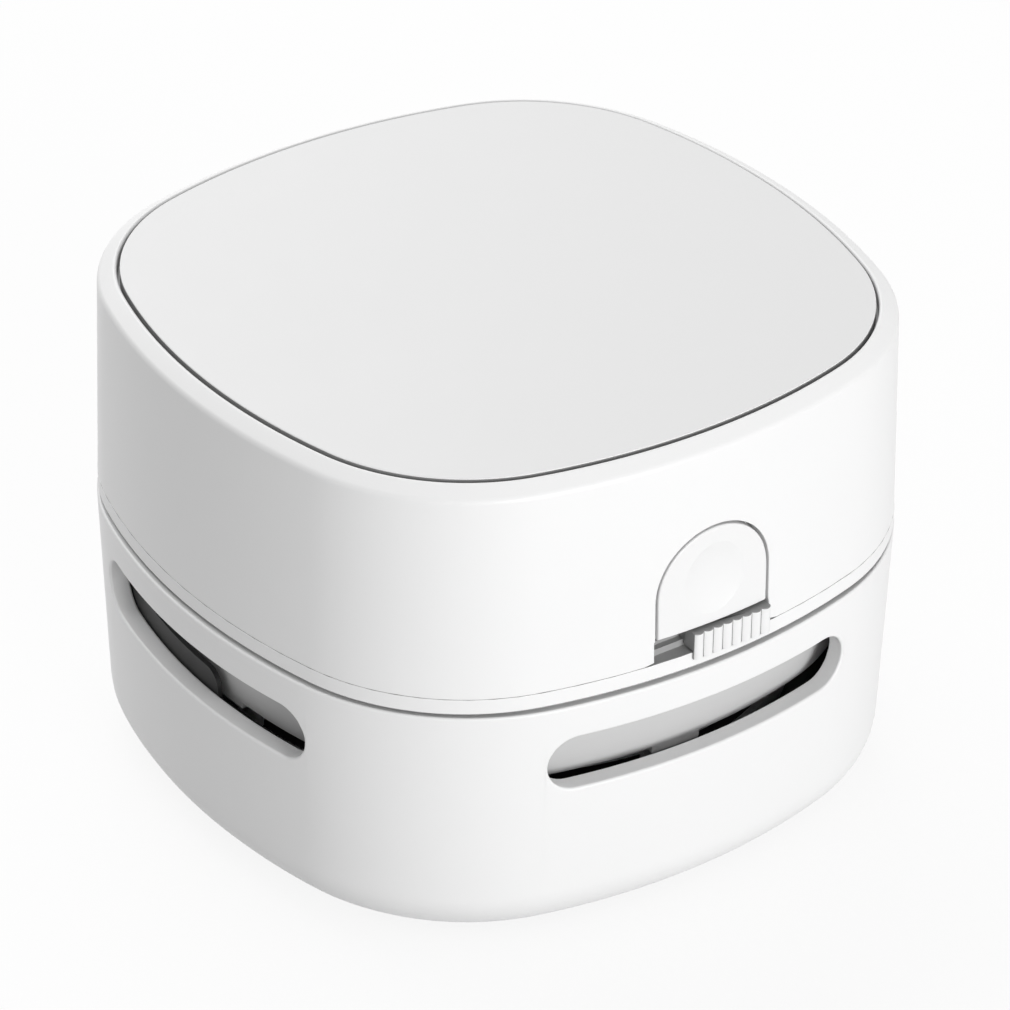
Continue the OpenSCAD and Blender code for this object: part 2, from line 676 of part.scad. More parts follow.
// Blade swept back along an arc from the hub's side to the rim
blade_in_r = 11;
blade_turn = 34;
blade_steps = 8;
function blade_point(s, side) =
    let (r = blade_in_r + (impeller_d / 2 - 0.5 - blade_in_r) * s,
        turn = -blade_turn * s * (2 - s) * 0.9, half = side * blade_t / 2)
    [r * cos(turn) - half * sin(turn - 20), r * sin(turn) + half * cos(turn - 20)];
module blade(h)
    linear_extrude(h) polygon(concat(
        [for (i = [0:blade_steps]) blade_point(i / blade_steps, -1)],
        [for (i = [blade_steps:-1:0]) blade_point(i / blade_steps, 1)]));

module impeller() color([0.22, 0.22, 0.23]) difference() {
    union() {
        translate([0, 0, fan_top - fan_disc_t]) cylinder(d = impeller_d, h = fan_disc_t);
        ring(impeller_d / 2, blade_in_r + 5, fan_z, fan_disc_t);
        translate([0, 0, fan_z + 1.6]) cylinder(r1 = hub_r - 1, r2 = hub_r, h = fan_top - fan_z - 1.6);
        for (turn = on_circle(1, blade_count)) rotate(atan2(turn.y, turn.x))
            translate([0, 0, fan_z + fan_disc_t / 2]) blade(fan_top - fan_z - fan_disc_t);
    }
    translate([0, 0, fan_z]) cylinder(d = shaft_d, h = fan_top);
}

module motor_shaft() color(steel)
    translate([0, 0, shaft_bottom]) cylinder(d = shaft_d, h = clamp_z + 1.4 - shaft_bottom);

module motor_can() color(steel) difference() {
    union() {
        translate([0, 0, motor_z]) cylinder(d = motor_d, h = motor_len);
        translate([0, 0, motor_z - nose_h]) cylinder(r = nose_r, h = nose_h + 1);
    }
    translate([0, 0, motor_z - nose_h - through]) cylinder(d = shaft_d + 2 * bearing_play, h = motor_len + 5);
    for (side = [-1, 1]) translate([0, side * (motor_d / 2 + 8), motor_top - 6]) cylinder(r = 9, h = 8);
}

module motor_end_cap() color([0.9, 0.9, 0.88]) difference() {
    union() {
        translate([0, 0, motor_top]) cylinder(d = motor_d - 0.8, h = cap_t);
        translate([0, 0, motor_top]) cylinder(r = nose_r, h = cap_t + 1);
        for (side = [-1, 1]) translate([side * 7 - 0.4, -1.2, motor_top]) cube([0.8, 2.4, cap_t + 1.8]);
    }
    translate([0, 0, motor_top - through]) cylinder(d = shaft_d + 2 * bearing_play, h = cap_t + 5);
}

// Strap over the motor: a round middle with an ear over each post
module motor_clamp() color(steel) difference() {
    translate([0, 0, clamp_z]) union() {
        cylinder(r = 10, h = clamp_t);
        translate([-3.2, -clamp_post_y, 0]) cube([6.4, 2 * clamp_post_y, clamp_t]);
        for (side = [-1, 1]) translate([0, side * clamp_post_y, 0]) cylinder(r = 3.2, h = clamp_t);
    }
    translate([0, 0, clamp_z - through]) cylinder(r = nose_r + 0.2, h = clamp_t + 2 * through);
    for (side = [-1, 1]) {
        translate([0, side * clamp_post_y, clamp_z - through]) cylinder(r = 1, h = clamp_t + 2 * through);
        translate([side * 7, 0, clamp_z - through]) cylinder(r = 1.9, h = clamp_t + 2 * through);
    }
}

module clamp_screws() color(steel)
    for (side = [-1, 1]) translate([0, side * clamp_post_y, clamp_z + clamp_t]) screw_down(0.8, 7, 1.8, 1.1);

module housing_screws() color(steel)
    at(four(shell_screw.x, shell_screw.y)) translate([0, 0, deck_z]) screw_up(0.9, 9, 1.9, 1.2);

// ---- Battery, board and wires ----

module battery_cell() color([0.16, 0.42, 0.62])
    translate([cell_x, cell_len / 2, cell_z]) rotate([90, 0, 0]) cylinder(d = cell_d, h = cell_len);

module battery_cradle() color([0.3, 0.3, 0.32]) difference() {
    translate([cell_x - cradle_w / 2, -cradle_len / 2, deck_top])
        cube([cradle_w, cradle_len, cell_z - deck_top + 2]);
    translate([cell_x, cell_len / 2 + tab_t, cell_z]) rotate([90, 0, 0])
        cylinder(d = cell_d + 2 * snug, h = cell_len + 2 * tab_t);
    translate([cell_x - cell_d / 2 - snug, -cell_len / 2 - tab_t, cell_z])
        cube([cell_d + 2 * snug, cell_len + 2 * tab_t, cell_d]);
}

module battery_tabs() color([0.8, 0.78, 0.7])
    for (side = [-1, 1]) translate([cell_x, side * (cell_len / 2 + tab_t / 2), cell_z]) {
        rotate([90, 0, 0]) cylinder(r = 4, h = tab_t, center = true);
        translate([-1.5, -tab_t / 2, 0]) cube([3, tab_t, 6.5]);
    }

module charge_board() color([0.1, 0.35, 0.2]) difference() {
    union() {
        translate([board_corner.x, board_corner.y, board_z]) cube(board_size);
        translate([-6, 27.6, board_z + 1]) cube([5, 4, 1.9]);
        translate([3, 25, board_z + 1]) cube([3.2, 3.2, 1.6]);
        translate([-6.4, 33.4, board_z + 1]) cube([1.6, 1.2, 1]);
    }
    at(board_posts) translate([0, 0, board_z - through]) cylinder(r = 1.1, h = 4);
}

module usb_socket() color(steel)
    translate([0, -front_y - 1.2, usb_z]) rotate([90, 0, 0]) difference() {
        union() {
            for (side = [-1, 1]) translate([side * (usb_size.x - usb_size.z) / 2, 0, 0])
                cylinder(d = usb_size.z, h = usb_size.y);
            translate([-(usb_size.x - usb_size.z) / 2, -usb_size.z / 2, 0])
                cube([usb_size.x - usb_size.z, usb_size.z, usb_size.y]);
        }
        difference() {
            union() {
                for (side = [-1, 1]) translate([side * (usb_size.x - usb_size.z) / 2, 0, -through])
                    cylinder(d = usb_size.z - 0.6, h = usb_size.y);
                translate([-(usb_size.x - usb_size.z) / 2, -usb_size.z / 2 + 0.3, -through])
                    cube([usb_size.x - usb_size.z, usb_size.z - 0.6, usb_size.y]);
            }
            translate([-usb_size.x / 2 + 1.4, -0.35, -2 * through])
                cube([usb_size.x - 2.8, 0.7, usb_size.y + 2]);
        }
    }

// Light guide from the board to the back wall
module charge_light() color([0.75, 0.9, 0.8]) {
    translate([light_x, -front_y - 0.3, usb_z]) rotate([90, 0, 0]) cylinder(r = 0.9, h = 5.6);
    translate([light_x - 1.2, -front_y - 6.2, board_z + board_size.z]) cube([2.4, 2.6, 2.4]);
}

// Leads: battery to board, motor to board and switch to board
module lead_wires() color([0.7, 0.12, 0.1]) {
    low = deck_top + 1.2;
    pad_z = board_z + board_size.z;
    wire([[cell_x, -cell_len / 2 - 1.1, cell_z + 5.4], [-24, -24, 53], [-22, -8, 53.6], [-20, 10, 53.4],
        [-12, 22, 51], [-7.8, 29, 48.6], [-7.8, 30, pad_z + wire_r]]);
    wire([[7.5, 0, clamp_z + 1.6], [9.6, 1, clamp_z + 2.2], [12, 8, clamp_z + 1.4], [12, 16, 53],
        [10, 22, 50], [8, 25, 47.6], [8, 26, pad_z + wire_r]]);
    wire([[2.4, switch_y + switch_d + 0.15, low], [2.4, -27, low], [14, -20, low], [21.5, -6, low],
        [21.5, 12, low + 1], [17.6, 22, 42], [15.4, 27, 46.4], [13.4, 28, pad_z + wire_r]]);
}

// ---- Latch ----

// Push button: an arched cap flush with the shell, on a wider flange behind the wall
module release_button() color(shell_white) difference() {
    union() {
        intersection() {
            arch_prism(button_w, button_z, button_top, front_y - 4, flange_y + flange_t / 2);
            stacked_solid(head_shape, [[0, deck_top], [head_draft, total_h - bevel_h]]);
        }
        arch_prism(flange_w, flange_z, flange_top, flange_y, yoke_y);
    }
    translate([0, front_y + head_draft * 0.35 + dimple_depth - dimple_ball_r, arch_z + 0.4])
        sphere(r = dimple_ball_r, $fn = 96);
}
dimple_ball_r = (dimple_w * dimple_w / 4 + dimple_depth * dimple_depth) / (2 * dimple_depth);

// Yoke behind the button, with a leg down each side and a hook on each leg
module latch_slider() color([0.9, 0.9, 0.9]) {
    translate([-leg_x - leg_w / 2, yoke_y, flange_z + 2.6])
        cube([2 * leg_x + leg_w, yoke_t, button_h - 4]);
    for (side = [-1, 1]) translate([side * leg_x - leg_w / 2, 0, 0]) {
        translate([0, yoke_y, hook_z]) cube([leg_w, yoke_t, flange_z + 4 - hook_z]);
        rotate([90, 0, 90]) linear_extrude(leg_w) polygon([
            [yoke_y + 0.5, hook_z], [yoke_y - 0.4, hook_z], [hook_y, hook_z + hook_h - 0.5],
            [hook_y, hook_z + hook_h], [yoke_y + 0.5, hook_z + hook_h]]);
    }
}

// Coil spring between the yoke and the bulkhead: an unbroken six-sided tube
spring_r = 2.6;
spring_wire_r = 0.25;
spring_turns = 3;
spring_steps = 14;
module latch_spring() color(steel) {
    count = spring_turns * spring_steps;
    run = spring_len - 2 * spring_wire_r - 0.04;
    path = [for (i = [0:count]) [spring_r * cos(360 * i / spring_steps),
        yoke_back + spring_wire_r + 0.02 + run * i / count,
        arch_z - 0.4 + spring_r * sin(360 * i / spring_steps)]];
    polyhedron(
        points = [for (i = [0:count]) each ring_round_y(path[i], 360 * i / spring_steps)],
        faces = concat(skin_faces(count + 1, wire_sides, false),
            [[for (k = [0:wire_sides - 1]) k]],
            [[for (k = [wire_sides - 1:-1:0]) count * wire_sides + k]]));
}
function ring_round_y(p, turn) = [for (k = [0:wire_sides - 1])
    let (out = spring_wire_r * cos(360 * k / wire_sides), along = spring_wire_r * sin(360 * k / wire_sides))
    p + [out * cos(turn), along, out * sin(turn)]];

// ---- Slide switch ----

// Ribbed knob: round ribs on a block outside the shell, and a stem that runs over the rail
module switch_knob() color(shell_white) translate([knob_x, 0, 0]) {
    for (i = [0:rib_count - 1])
        translate([-knob_w / 2 + rib_pitch * (i + 0.5), rib_y, knob_top - knob_h]) intersection() {
            cylinder(r = rib_r, h = knob_h, $fn = 24);
            translate([-rib_pitch / 2, -rib_r, 0]) cube([rib_pitch, 2 * rib_r, knob_h]);
        }
    translate([-knob_w / 2, rib_y, knob_top - knob_h]) cube([knob_w, front_y - slip - rib_y, knob_h]);
    translate([-knob_w / 2, front_y - slip - 0.5, deck_top + slip])
        cube([knob_w, knob_back - front_y + slip + 0.5, knob_top - deck_top - slip]);
    translate([-2.4, knob_back - 0.5, stem_z]) cube([4.8, stem_back - knob_back + 0.5, stem_t]);
}

module switch_actuator() color([0.15, 0.15, 0.15])
    translate([knob_x - nub_w / 2, stem_back, stem_z - 0.4]) cube([nub_w, switch_y + 0.8 - stem_back, nub_w]);

module slide_switch() color(steel) difference() {
    translate([-switch_w / 2, switch_y, deck_top]) cube([switch_w, switch_d, switch_h]);
    translate([-knob_travel / 2 - nub_w / 2 - slip, switch_y - through, stem_z - 0.4 - snug])
        cube([knob_travel + nub_w + 2 * slip, through + 0.8 + snug, nub_w + 2 * snug]);
}

lower_housing();
bin_liner();
dust_cup();
base_plate();
brush_ring();
rubber_feet();
base_screws();
upper_housing();
top_panel();
motor_deck();
fan_shroud();
shroud_screws();
filter_frame();
filter_pad();
cup_seal();
motor_can();
motor_end_cap();
motor_clamp();
clamp_screws();
battery_cell();
battery_cradle();
battery_tabs();
charge_board();
usb_socket();
charge_light();
lead_wires();
slide_switch();
housing_screws();
release_button();
latch_slider();
latch_spring();
switch_knob();
switch_actuator();
impeller();
motor_shaft();
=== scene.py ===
import math
import random

import bmesh
import bpy
from mathutils import Matrix, Vector

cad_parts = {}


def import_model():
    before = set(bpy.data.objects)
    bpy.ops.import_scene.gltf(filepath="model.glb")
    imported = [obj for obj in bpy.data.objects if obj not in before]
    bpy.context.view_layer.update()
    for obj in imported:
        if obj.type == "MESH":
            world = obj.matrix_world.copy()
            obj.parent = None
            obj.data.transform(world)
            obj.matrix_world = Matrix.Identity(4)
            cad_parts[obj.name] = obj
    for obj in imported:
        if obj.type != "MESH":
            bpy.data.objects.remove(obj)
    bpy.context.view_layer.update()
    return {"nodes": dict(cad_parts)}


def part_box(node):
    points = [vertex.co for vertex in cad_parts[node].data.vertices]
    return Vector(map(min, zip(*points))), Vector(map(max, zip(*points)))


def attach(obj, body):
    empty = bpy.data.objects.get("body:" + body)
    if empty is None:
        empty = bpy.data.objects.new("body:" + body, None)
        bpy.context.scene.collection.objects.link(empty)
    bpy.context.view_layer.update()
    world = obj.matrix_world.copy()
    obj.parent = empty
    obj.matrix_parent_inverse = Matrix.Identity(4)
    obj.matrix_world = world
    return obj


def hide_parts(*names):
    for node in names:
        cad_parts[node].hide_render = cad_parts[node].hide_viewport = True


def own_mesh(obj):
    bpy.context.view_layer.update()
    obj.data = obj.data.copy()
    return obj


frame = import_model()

MM = 0.001
SHARP = math.radians(35)
NEAR = 0.001 * MM

# ---- Sizes, in millimetres until they are drawn ----

# A hair's breadth, how far cutters reach past what they cut, and what welds the slivers that they leave
HAIR = 0.01
PAST = 1
ACROSS = (-50, 50)
WIDER = (-60, 60)
FINE_WELD = 0.001
WELD = 0.06
BUTTON_WELD = 0.02
KNOB_WELD = 0.01
NORMAL_WEIGHT = 60

# Rounded squares of eight tangent arcs: half width, side radius, corner radius
BIN_SHAPE = (43, 79, 28.7)
HEAD_SHAPE = (42.5, 80.5, 26.2)
SIDE_STEPS = 24
CORNER_STEPS = 30
ROUND_STEPS = 128

# Levels from the desk up, from the frame where it shows them
PANEL_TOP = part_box("top_panel")[1][2] / MM
TOP_Z = PANEL_TOP + 0.1
DECK_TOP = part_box("upper_housing")[0][2] / MM
DECK_T = 1.9
DECK_Z = DECK_TOP - DECK_T
SEAM_GAP = 0.5
RIM_Z = DECK_Z - SEAM_GAP
FLOOR_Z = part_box("lower_housing")[0][2] / MM
FLOOR_T = 2.2
FLOOR_TOP = FLOOR_Z + FLOOR_T

# Dust bin
BIN_WALL = 2.4
BIN_DRAFT = 1.13
FOOT_EDGE_R = 6.2
RIM_EDGE_R = 0.3
TONGUE_INSET = 1.2
TONGUE_TOP = DECK_Z - 0.25
TONGUE_ROUNDINGS = (0.05, 0.08, 0.2)
FLOOR_REACH = 12
FLOOR_EDGE = 0.2
PLATE_HOLE_R = 28.5
SLOT_LEN = 41
SLOT_H = 7
SLOT_Z = 24.5
SLOT_EDGE = 0.35
SLOT_EDGES_REACH = SLOT_H / 2 + 0.5
SLOT_CUT_START = -BIN_SHAPE[0] - 6
SLOT_CUT_LEN = 12

# Power head
HEAD_WALL = 2.2
HEAD_DRAFT = 0.65
BEVEL_W = 2.3
BEVEL_H = 1.4
BEVEL_EDGE_R = 0.9
LIP_R = 0.35
LIP_INSET = HEAD_DRAFT + BEVEL_W
PANEL_T = 1.9
PANEL_GAP = 0.34
PANEL_EDGE = 0.12
PANEL_RING_W = 8
LEDGE_Z = PANEL_TOP - PANEL_T
LEDGE_W = 2.3
LEDGE_T = 1.3
LEDGE_FOOT_W = 1.2
LEDGE_SLOPE_H = 2
INNER_EDGE = 0.1
OPENING_EDGE = 0.12
OPENINGS_X = 12
OPENINGS_Y = 38
FRONT_Y = -HEAD_SHAPE[0]
FRONT_CUT_Y = FRONT_Y - 4
BACK_CUT_Y = -FRONT_Y - 4
CUT_LEN = 8
BUTTON_CUT_LEN = 8.5

# Snap legs under the panel, each with a hook at its foot
LEG_W = 8
LEG_T = 1.2
LEG_Y = FRONT_Y + LIP_INSET + LEDGE_W + 0.3
HOOK_Z = LEDGE_Z - LEDGE_T
HOOK_REACH = 0.8
HOOK_LEVELS = (0.1, 0.4, 1.1)

# Edge of the deck between the head's shell and the seam
BAND_OUT = 0.03
BAND_T = 1.2
BAND_TOP = DECK_TOP - 0.02
BAND_ROUNDINGS = (0.15, 0.1)

# Release button and the notch under it
BUTTON_W = 14.9
BUTTON_H = 12.2
BUTTON_GAP = 0.34
NOTCH_W = 15.8
NOTCH_H = 2.8
BUTTON_Z = DECK_TOP + NOTCH_H + BUTTON_GAP / 2
BUTTON_TOP = BUTTON_Z + BUTTON_H
ARCH_Z = BUTTON_TOP - BUTTON_W / 2
BUTTON_EDGE = 0.2
BUTTON_LEN = 8.2
BUTTON_FACE_DEPTH = 1.5
BUTTON_FACE_STEPS = 22
BUTTON_TRAVEL = 1.5
FLANGE_Y = FRONT_Y + 3.5
FLANGE_T = 1.3
FLANGE_W = BUTTON_W + 3.7
FLANGE_Z = BUTTON_Z + 0.4
FLANGE_TOP = BUTTON_TOP + 1.4
DIMPLE_W = 9
DIMPLE_DEPTH = 0.6
DIMPLE_Z = ARCH_Z + 1.4
DIMPLE_Y = FRONT_Y + HEAD_DRAFT * 0.35
BALL_STEPS = 256
FLARE_W = 1.3
FLARE_H = 0.3
FLARE_TIP_H = 0.02
OPENINGS_Z = (DECK_TOP + 0.3, BUTTON_TOP + 1)

# Latch catches inside the bin's front wall
CATCH_X = 9.6
CATCH_W = 2.4
CATCH_H = 1
CATCH_SLOPE = 0.6
CATCH_TOP = RIM_Z - 0.7
CATCH_WALL_Y = -BIN_SHAPE[0] + 1.6
CATCH_EDGE_Y = FRONT_Y + 3 + BUTTON_TRAVEL - 0.35

# Slide knob
KNOB_W = 10.6
KNOB_X = 2.3
KNOB_H = 3.4
KNOB_TOP = DECK_TOP + NOTCH_H - 0.2
KNOB_FRONT = FRONT_Y - 0.65
KNOB_BACK = FRONT_Y + 1.55
KNOB_EDGE = 0.04
RIB_COUNT = 8
RIB_PITCH = KNOB_W / RIB_COUNT
RIB_R = 0.53 * RIB_PITCH
GROOVE_DEPTH = 0.36
KNOB_STEP_Y = FRONT_Y - 0.08
KNOB_STEP_Z = DECK_TOP + 0.3
KNOB_BACKS = ((FRONT_Y + 2.4, DECK_TOP + 0.85), (FRONT_Y + 3.5, DECK_TOP + 1.55))
KNOB_OVERLAP = 0.5
# Where the knob is painted grey as painted shade: its top, and all behind its ribs
KNOB_SHADE_Z = KNOB_TOP - 0.08
KNOB_SHADE_Y = KNOB_FRONT + GROOVE_DEPTH
STEM_REACH = 2.4
STEM_YS = (FRONT_Y + 3.3, FRONT_Y + 3.9)
STEM_ZS = (KNOB_TOP - 1, KNOB_TOP - 0.2)

# Skirt round the fan shroud, the liner and its fin in black as painted shade, seen through the slots
SHROUD_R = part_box("fan_shroud")[1][0] / MM
SKIRT_SHAPE = (38.7, 66, 27)
SKIRT_BULGE_R = 28
SKIRT_MIDDLE = 25
SKIRT_LOW = 20.2
SKIRT_TOP = 27.3
SKIRT_EDGE_R = 0.8
SKIRT_TAB = (-4.8, 1.6)
SKIRT_CUT_TOP = 40
SHROUD_GAP = 0.02
LINER_TOP = 19.3
LINER_TRIM_H = 5
SKIRT_START = LINER_TOP + 0.1
FIN_INSETS = (2.9, 3.5)
FIN_Z = LINER_TOP - 0.05
FIN_TOP = 23.7
FIN_START = -21
FIN_END = 2.8
FIN_CUT_LEN = 10

# Underside
BRUSH_R = 17
ROW_GAP = 1.15
ROW_TUFTS = 24
ARC_HALF = 38
BACKING_T = 1.4
BACKING_REACH = 2.3
BACKING_EDGE = 0.15
TUFT_R = 0.62
STRANDS = 14
STRAND_TIP_R = 0.05
STRAND_ROOT_R = 0.12
STRAND_SINK = 0.3
STRAND_LEAN = 0.1
STRAND_UNEVEN = 0.12
STRAND_SEED = 7
GOLDEN_ANGLE = 2.4

# Screws that clamp the base plate, and their seats
CLAMP_R = 31.4
CLAMP_PLACES = ((CLAMP_R, 0), (0, CLAMP_R), (-CLAMP_R, 0), (0, -CLAMP_R))
SEAT_R = 2.3
SEAT_Z = FLOOR_Z + 1.2
SCREW_HOLE_R = 1.3
SCREW_HEAD_R = 2.1
SCREW_HEAD_H = 1
SCREW_HEAD_EDGE = 0.35
SCREW_FACE_Z = SEAT_Z - SCREW_HEAD_H
SHANK_R = 0.9
SHANK_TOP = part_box("base_screws")[1][2] / MM
RECESS = (1.15 * SCREW_HEAD_R, 0.28 * SCREW_HEAD_R, 1.1 * SCREW_HEAD_H)

# Spring behind the button
SPRING_R = 2.6
SPRING_WIRE_R = 0.25
SPRING_TURNS = 3
SPRING_FRONT = FRONT_Y + 6.1
SPRING_BACK = FRONT_Y + 10.3
SPRING_SLACK = 0.02
SPRING_Z = ARCH_Z - 0.4
TURN_STEPS = 40

# Charging port at the back
USB_Z = 46.6
USB_W = 9.6
USB_H = 3.8
LIGHT_X = 9
LIGHT_D = 2

# Surface patterns, in millimetres, and the share of a colour's level that they turn it to
GRAIN = 0.35
GRAIN_DEPTH = 0.002
DRIFT = 22
DRIFT_TONE = 0.985
PATCH = 6
MOTTLE = 1.5
DUST_TONE = 1.35
RUBBER_GRAIN = 0.2
METAL_GRAIN = 0.3
DULL_TONE = 0.82
CLUMP = 1.2
FIBRE = 0.12
FELT_TONE = 0.78
TRACK_SCALE = 260.0

# The photograph's camera: angles in degrees, lengths in millimetres, the end of its view in metres
CAMERA_AZIMUTH = -35.377
CAMERA_ELEVATION = 32.261
CAMERA_ROLL = 0.676
CAMERA_DISTANCE = 629.7
CAMERA_LENS = 192.85
CAMERA_AIM = (0, 0, 32.08)
CAMERA_SHIFT = (1.29, -1.13)
SENSOR_W = 36
VIEW_END = 20

# Light: shares of full light, where the lamps stand in metres, and what the floor gives back
SKY_LEVEL = 0.49
KEY_LEVEL = 0.98
KEY_FROM = (-0.02, -0.95, 0.06)
KEY_DISTANCE = 1.2
KEY_SIZE = 0.6
BACK_LEVEL = 0.56
BACK_FROM = (0.1, 0.8, 0.8)
BACK_DISTANCE = 1.4
BACK_SIZE = 1.2
FLOOR_SIZE = 6
FLOOR_TONE = 0.45
FLOOR_GLOW = 0.87


# ---- Modelling tools ----

def deselect():
    bpy.ops.object.select_all(action="DESELECT")


def activate(piece):
    deselect()
    piece.select_set(True)
    bpy.context.view_layer.objects.active = piece


def edit(piece):
    activate(piece)
    bpy.ops.object.mode_set(mode="EDIT")
    bpy.ops.mesh.select_mode(type="VERT")


def leave_edit():
    bpy.ops.object.mode_set(mode="OBJECT")


def add(operator, name, **settings):
    """Adds a primitive by its operator, names it and moves its place into its mesh."""
    deselect()
    operator(**settings)
    piece = bpy.context.object
    piece.name = name
    piece.data.name = name
    bpy.ops.object.transform_apply(location=True, rotation=True, scale=True)
    return piece


def select_where(piece, test, kind="VERT"):
    """In edit mode, selects just the vertices, edges or faces that pass the test."""
    bpy.ops.mesh.select_mode(type=kind)
    bpy.ops.mesh.select_all(action="DESELECT")
    mesh = bmesh.from_edit_mesh(piece.data)
    parts = {"VERT": mesh.verts, "EDGE": mesh.edges, "FACE": mesh.faces}[kind]
    for part in parts:
        part.select_set(test(part))
    mesh.select_flush_mode()
    bmesh.update_edit_mesh(piece.data)


def middle(part):
    corners = [corner.co for corner in part.verts]
    return sum(corners, Vector()) / len(corners)


def close_up(piece, gap=FINE_WELD):
    """Merges doubles and turns all faces outwards."""
    edit(piece)
    bpy.ops.mesh.select_all(action="SELECT")
    bpy.ops.mesh.remove_doubles(threshold=gap * MM)
    bpy.ops.mesh.normals_make_consistent(inside=False)
    leave_edit()
    return piece


def draw_line(name, points, closed=True):
    """Draws a line of edges: one vertex, extruded from point to point."""
    line = add(bpy.ops.mesh.primitive_plane_add, name, size=MM)
    edit(line)
    bpy.ops.mesh.merge(type="CENTER")
    bpy.ops.transform.translate(value=points[0])
    for here, there in zip(points, points[1:]):
        bpy.ops.mesh.extrude_region_move(TRANSFORM_OT_translate={"value": there - here})
    if closed:
        ends = [points[0], points[-1]]
        select_where(line, lambda vertex: min((vertex.co - end).length for end in ends) < NEAR)
        bpy.ops.mesh.edge_face_add()
    leave_edit()
    return line


def prism(name, outline, depth):
    """Fills a closed outline and extrudes it by a vector."""
    solid = draw_line(name, outline)
    edit(solid)
    bpy.ops.mesh.select_all(action="SELECT")
    bpy.ops.mesh.edge_face_add()
    bpy.ops.mesh.extrude_region_move(TRANSFORM_OT_translate={"value": depth})
    leave_edit()
    return close_up(solid)


def bar(name, outline, y, length, quarter=0):
    """Prism of an (x, z) outline that runs inwards from a depth y, turned by quarters round the middle."""
    inwards = quarter_turn(quarter) @ Vector((0, length * MM, 0))
    return prism(name, upright(outline, y, quarter), inwards)


def cross_bar(name, outline, x, width):
    """Prism of a (y, z) outline that runs from an x to the right."""
    return prism(name, [Vector((x, y, z)) * MM for y, z in outline], Vector((width * MM, 0, 0)))


def block(name, xs, ys, zs):
    """Box between low and high values along each axis, in millimetres."""
    size = [high - low for low, high in (xs, ys, zs)]
    place = [(low + high) / 2 * MM for low, high in (xs, ys, zs)]
    return add(bpy.ops.mesh.primitive_cube_add, name, size=MM, location=place, scale=size)


def cylinder(name, radius, low, high, x=0, y=0, vertices=64):
    """Upright cylinder between two levels, in millimetres."""
    return add(bpy.ops.mesh.primitive_cylinder_add, name, vertices=vertices, radius=radius * MM,
               depth=(high - low) * MM, location=(x * MM, y * MM, (low + high) / 2 * MM))


def ring(name, outer, inner, low, high, edge):
    """Upright ring with slightly rounded edges."""
    piece = cylinder(name, outer, low, high, vertices=ROUND_STEPS)
    combine(piece, cylinder("bore", inner, low - PAST, high + PAST, vertices=ROUND_STEPS))
    return round_edges(piece, edge, 2)


def mesh_copy(node, name):
    """New object with a copy of a CAD node's mesh."""
    mesh = frame["nodes"][node].data.copy()
    mesh.name = name
    piece = bpy.data.objects.new(name, mesh)
    bpy.context.scene.collection.objects.link(piece)
    return piece


def placed_copy(piece, offset, turn=0):
    """Copy with its own mesh, moved by a vector in millimetres and then turned round the middle."""
    activate(piece)
    bpy.ops.object.duplicate()
    twin = bpy.context.object
    angle = math.radians(turn)
    twin.location = Matrix.Rotation(angle, 3, "Z") @ Vector(offset) * MM
    twin.rotation_euler.z = angle
    bpy.ops.object.transform_apply(location=True, rotation=True)
    return twin


def join(name, pieces):
    deselect()
    for piece in pieces:
        piece.select_set(True)
    bpy.context.view_layer.objects.active = pieces[0]
    bpy.ops.object.join()
    pieces[0].name = name
    pieces[0].data.name = name
    return pieces[0]


def modify(piece, kind, **settings):
    """Adds a modifier, sets it and applies it."""
    activate(piece)
    bpy.ops.object.modifier_add(type=kind)
    modifier = piece.modifiers[-1]
    for key, value in settings.items():
        setattr(modifier, key, value)
    bpy.ops.object.modifier_apply(modifier=modifier.name)
    return piece


def combine(piece, tool, operation="DIFFERENCE"):
    """Cuts a tool out of a piece, or adds it, and removes the tool."""
    modify(piece, "BOOLEAN", operation=operation, solver="EXACT", object=tool)
    bpy.data.objects.remove(tool)
    return piece


def round_edges(piece, width, segments=3, where=lambda place: True):
    """Bevels the sharp edges whose middle passes the test."""
    def chosen(edge):
        return edge.calc_face_angle(0) > SHARP and where(middle(edge) / MM)

    edit(piece)
    select_where(piece, chosen, "EDGE")
    bpy.ops.mesh.bevel(offset=width * MM, segments=segments, affect="EDGES", clamp_overlap=False,
                       miter_outer="SHARP", profile=0.5)
    leave_edit()
    return piece


def finish_shading(piece):
    activate(piece)
    bpy.ops.object.shade_smooth_by_angle(angle=SHARP)
    modify(piece, "WEIGHTED_NORMAL", mode="FACE_AREA", weight=NORMAL_WEIGHT, keep_sharp=True)
    return piece


def settle(piece, body, slot, material, *nodes):
    """Shades a finished piece, and ties it to its body, its nodes and its material."""
    finish_shading(piece)
    piece.data.materials.clear()
    piece.data.materials.append(material)
    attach(piece, body)
    if nodes:
        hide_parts(*nodes)
    return piece


# ---- Outlines ----

def rounded_path(corners, steps):
    """Points along a closed line whose corners (x, z, radius) are rounded by arcs."""
    path = []
    for index, (x, z, radius) in enumerate(corners):
        corner = Vector((x, z))
        if radius == 0:
            path.append(corner)
            continue
        back = (Vector(corners[index - 1][:2]) - corner).normalized()
        ahead = (Vector(corners[(index + 1) % len(corners)][:2]) - corner).normalized()
        half = back.angle(ahead) / 2
        centre = corner + (back + ahead).normalized() * radius / math.sin(half)
        start = corner + back * radius / math.tan(half) - centre
        end = corner + ahead * radius / math.tan(half) - centre
        sweep = math.atan2(start.cross(end), start.dot(end))
        path += [centre + Matrix.Rotation(sweep * step / steps, 2) @ start for step in range(steps + 1)]
    return path


def arc(centre, radius, first, last, steps):
    """Points on an arc in a plane, with its angles in degrees."""
    angles = [math.radians(first + (last - first) * step / steps) for step in range(steps + 1)]
    return [(centre[0] + radius * math.cos(angle), centre[1] + radius * math.sin(angle)) for angle in angles]


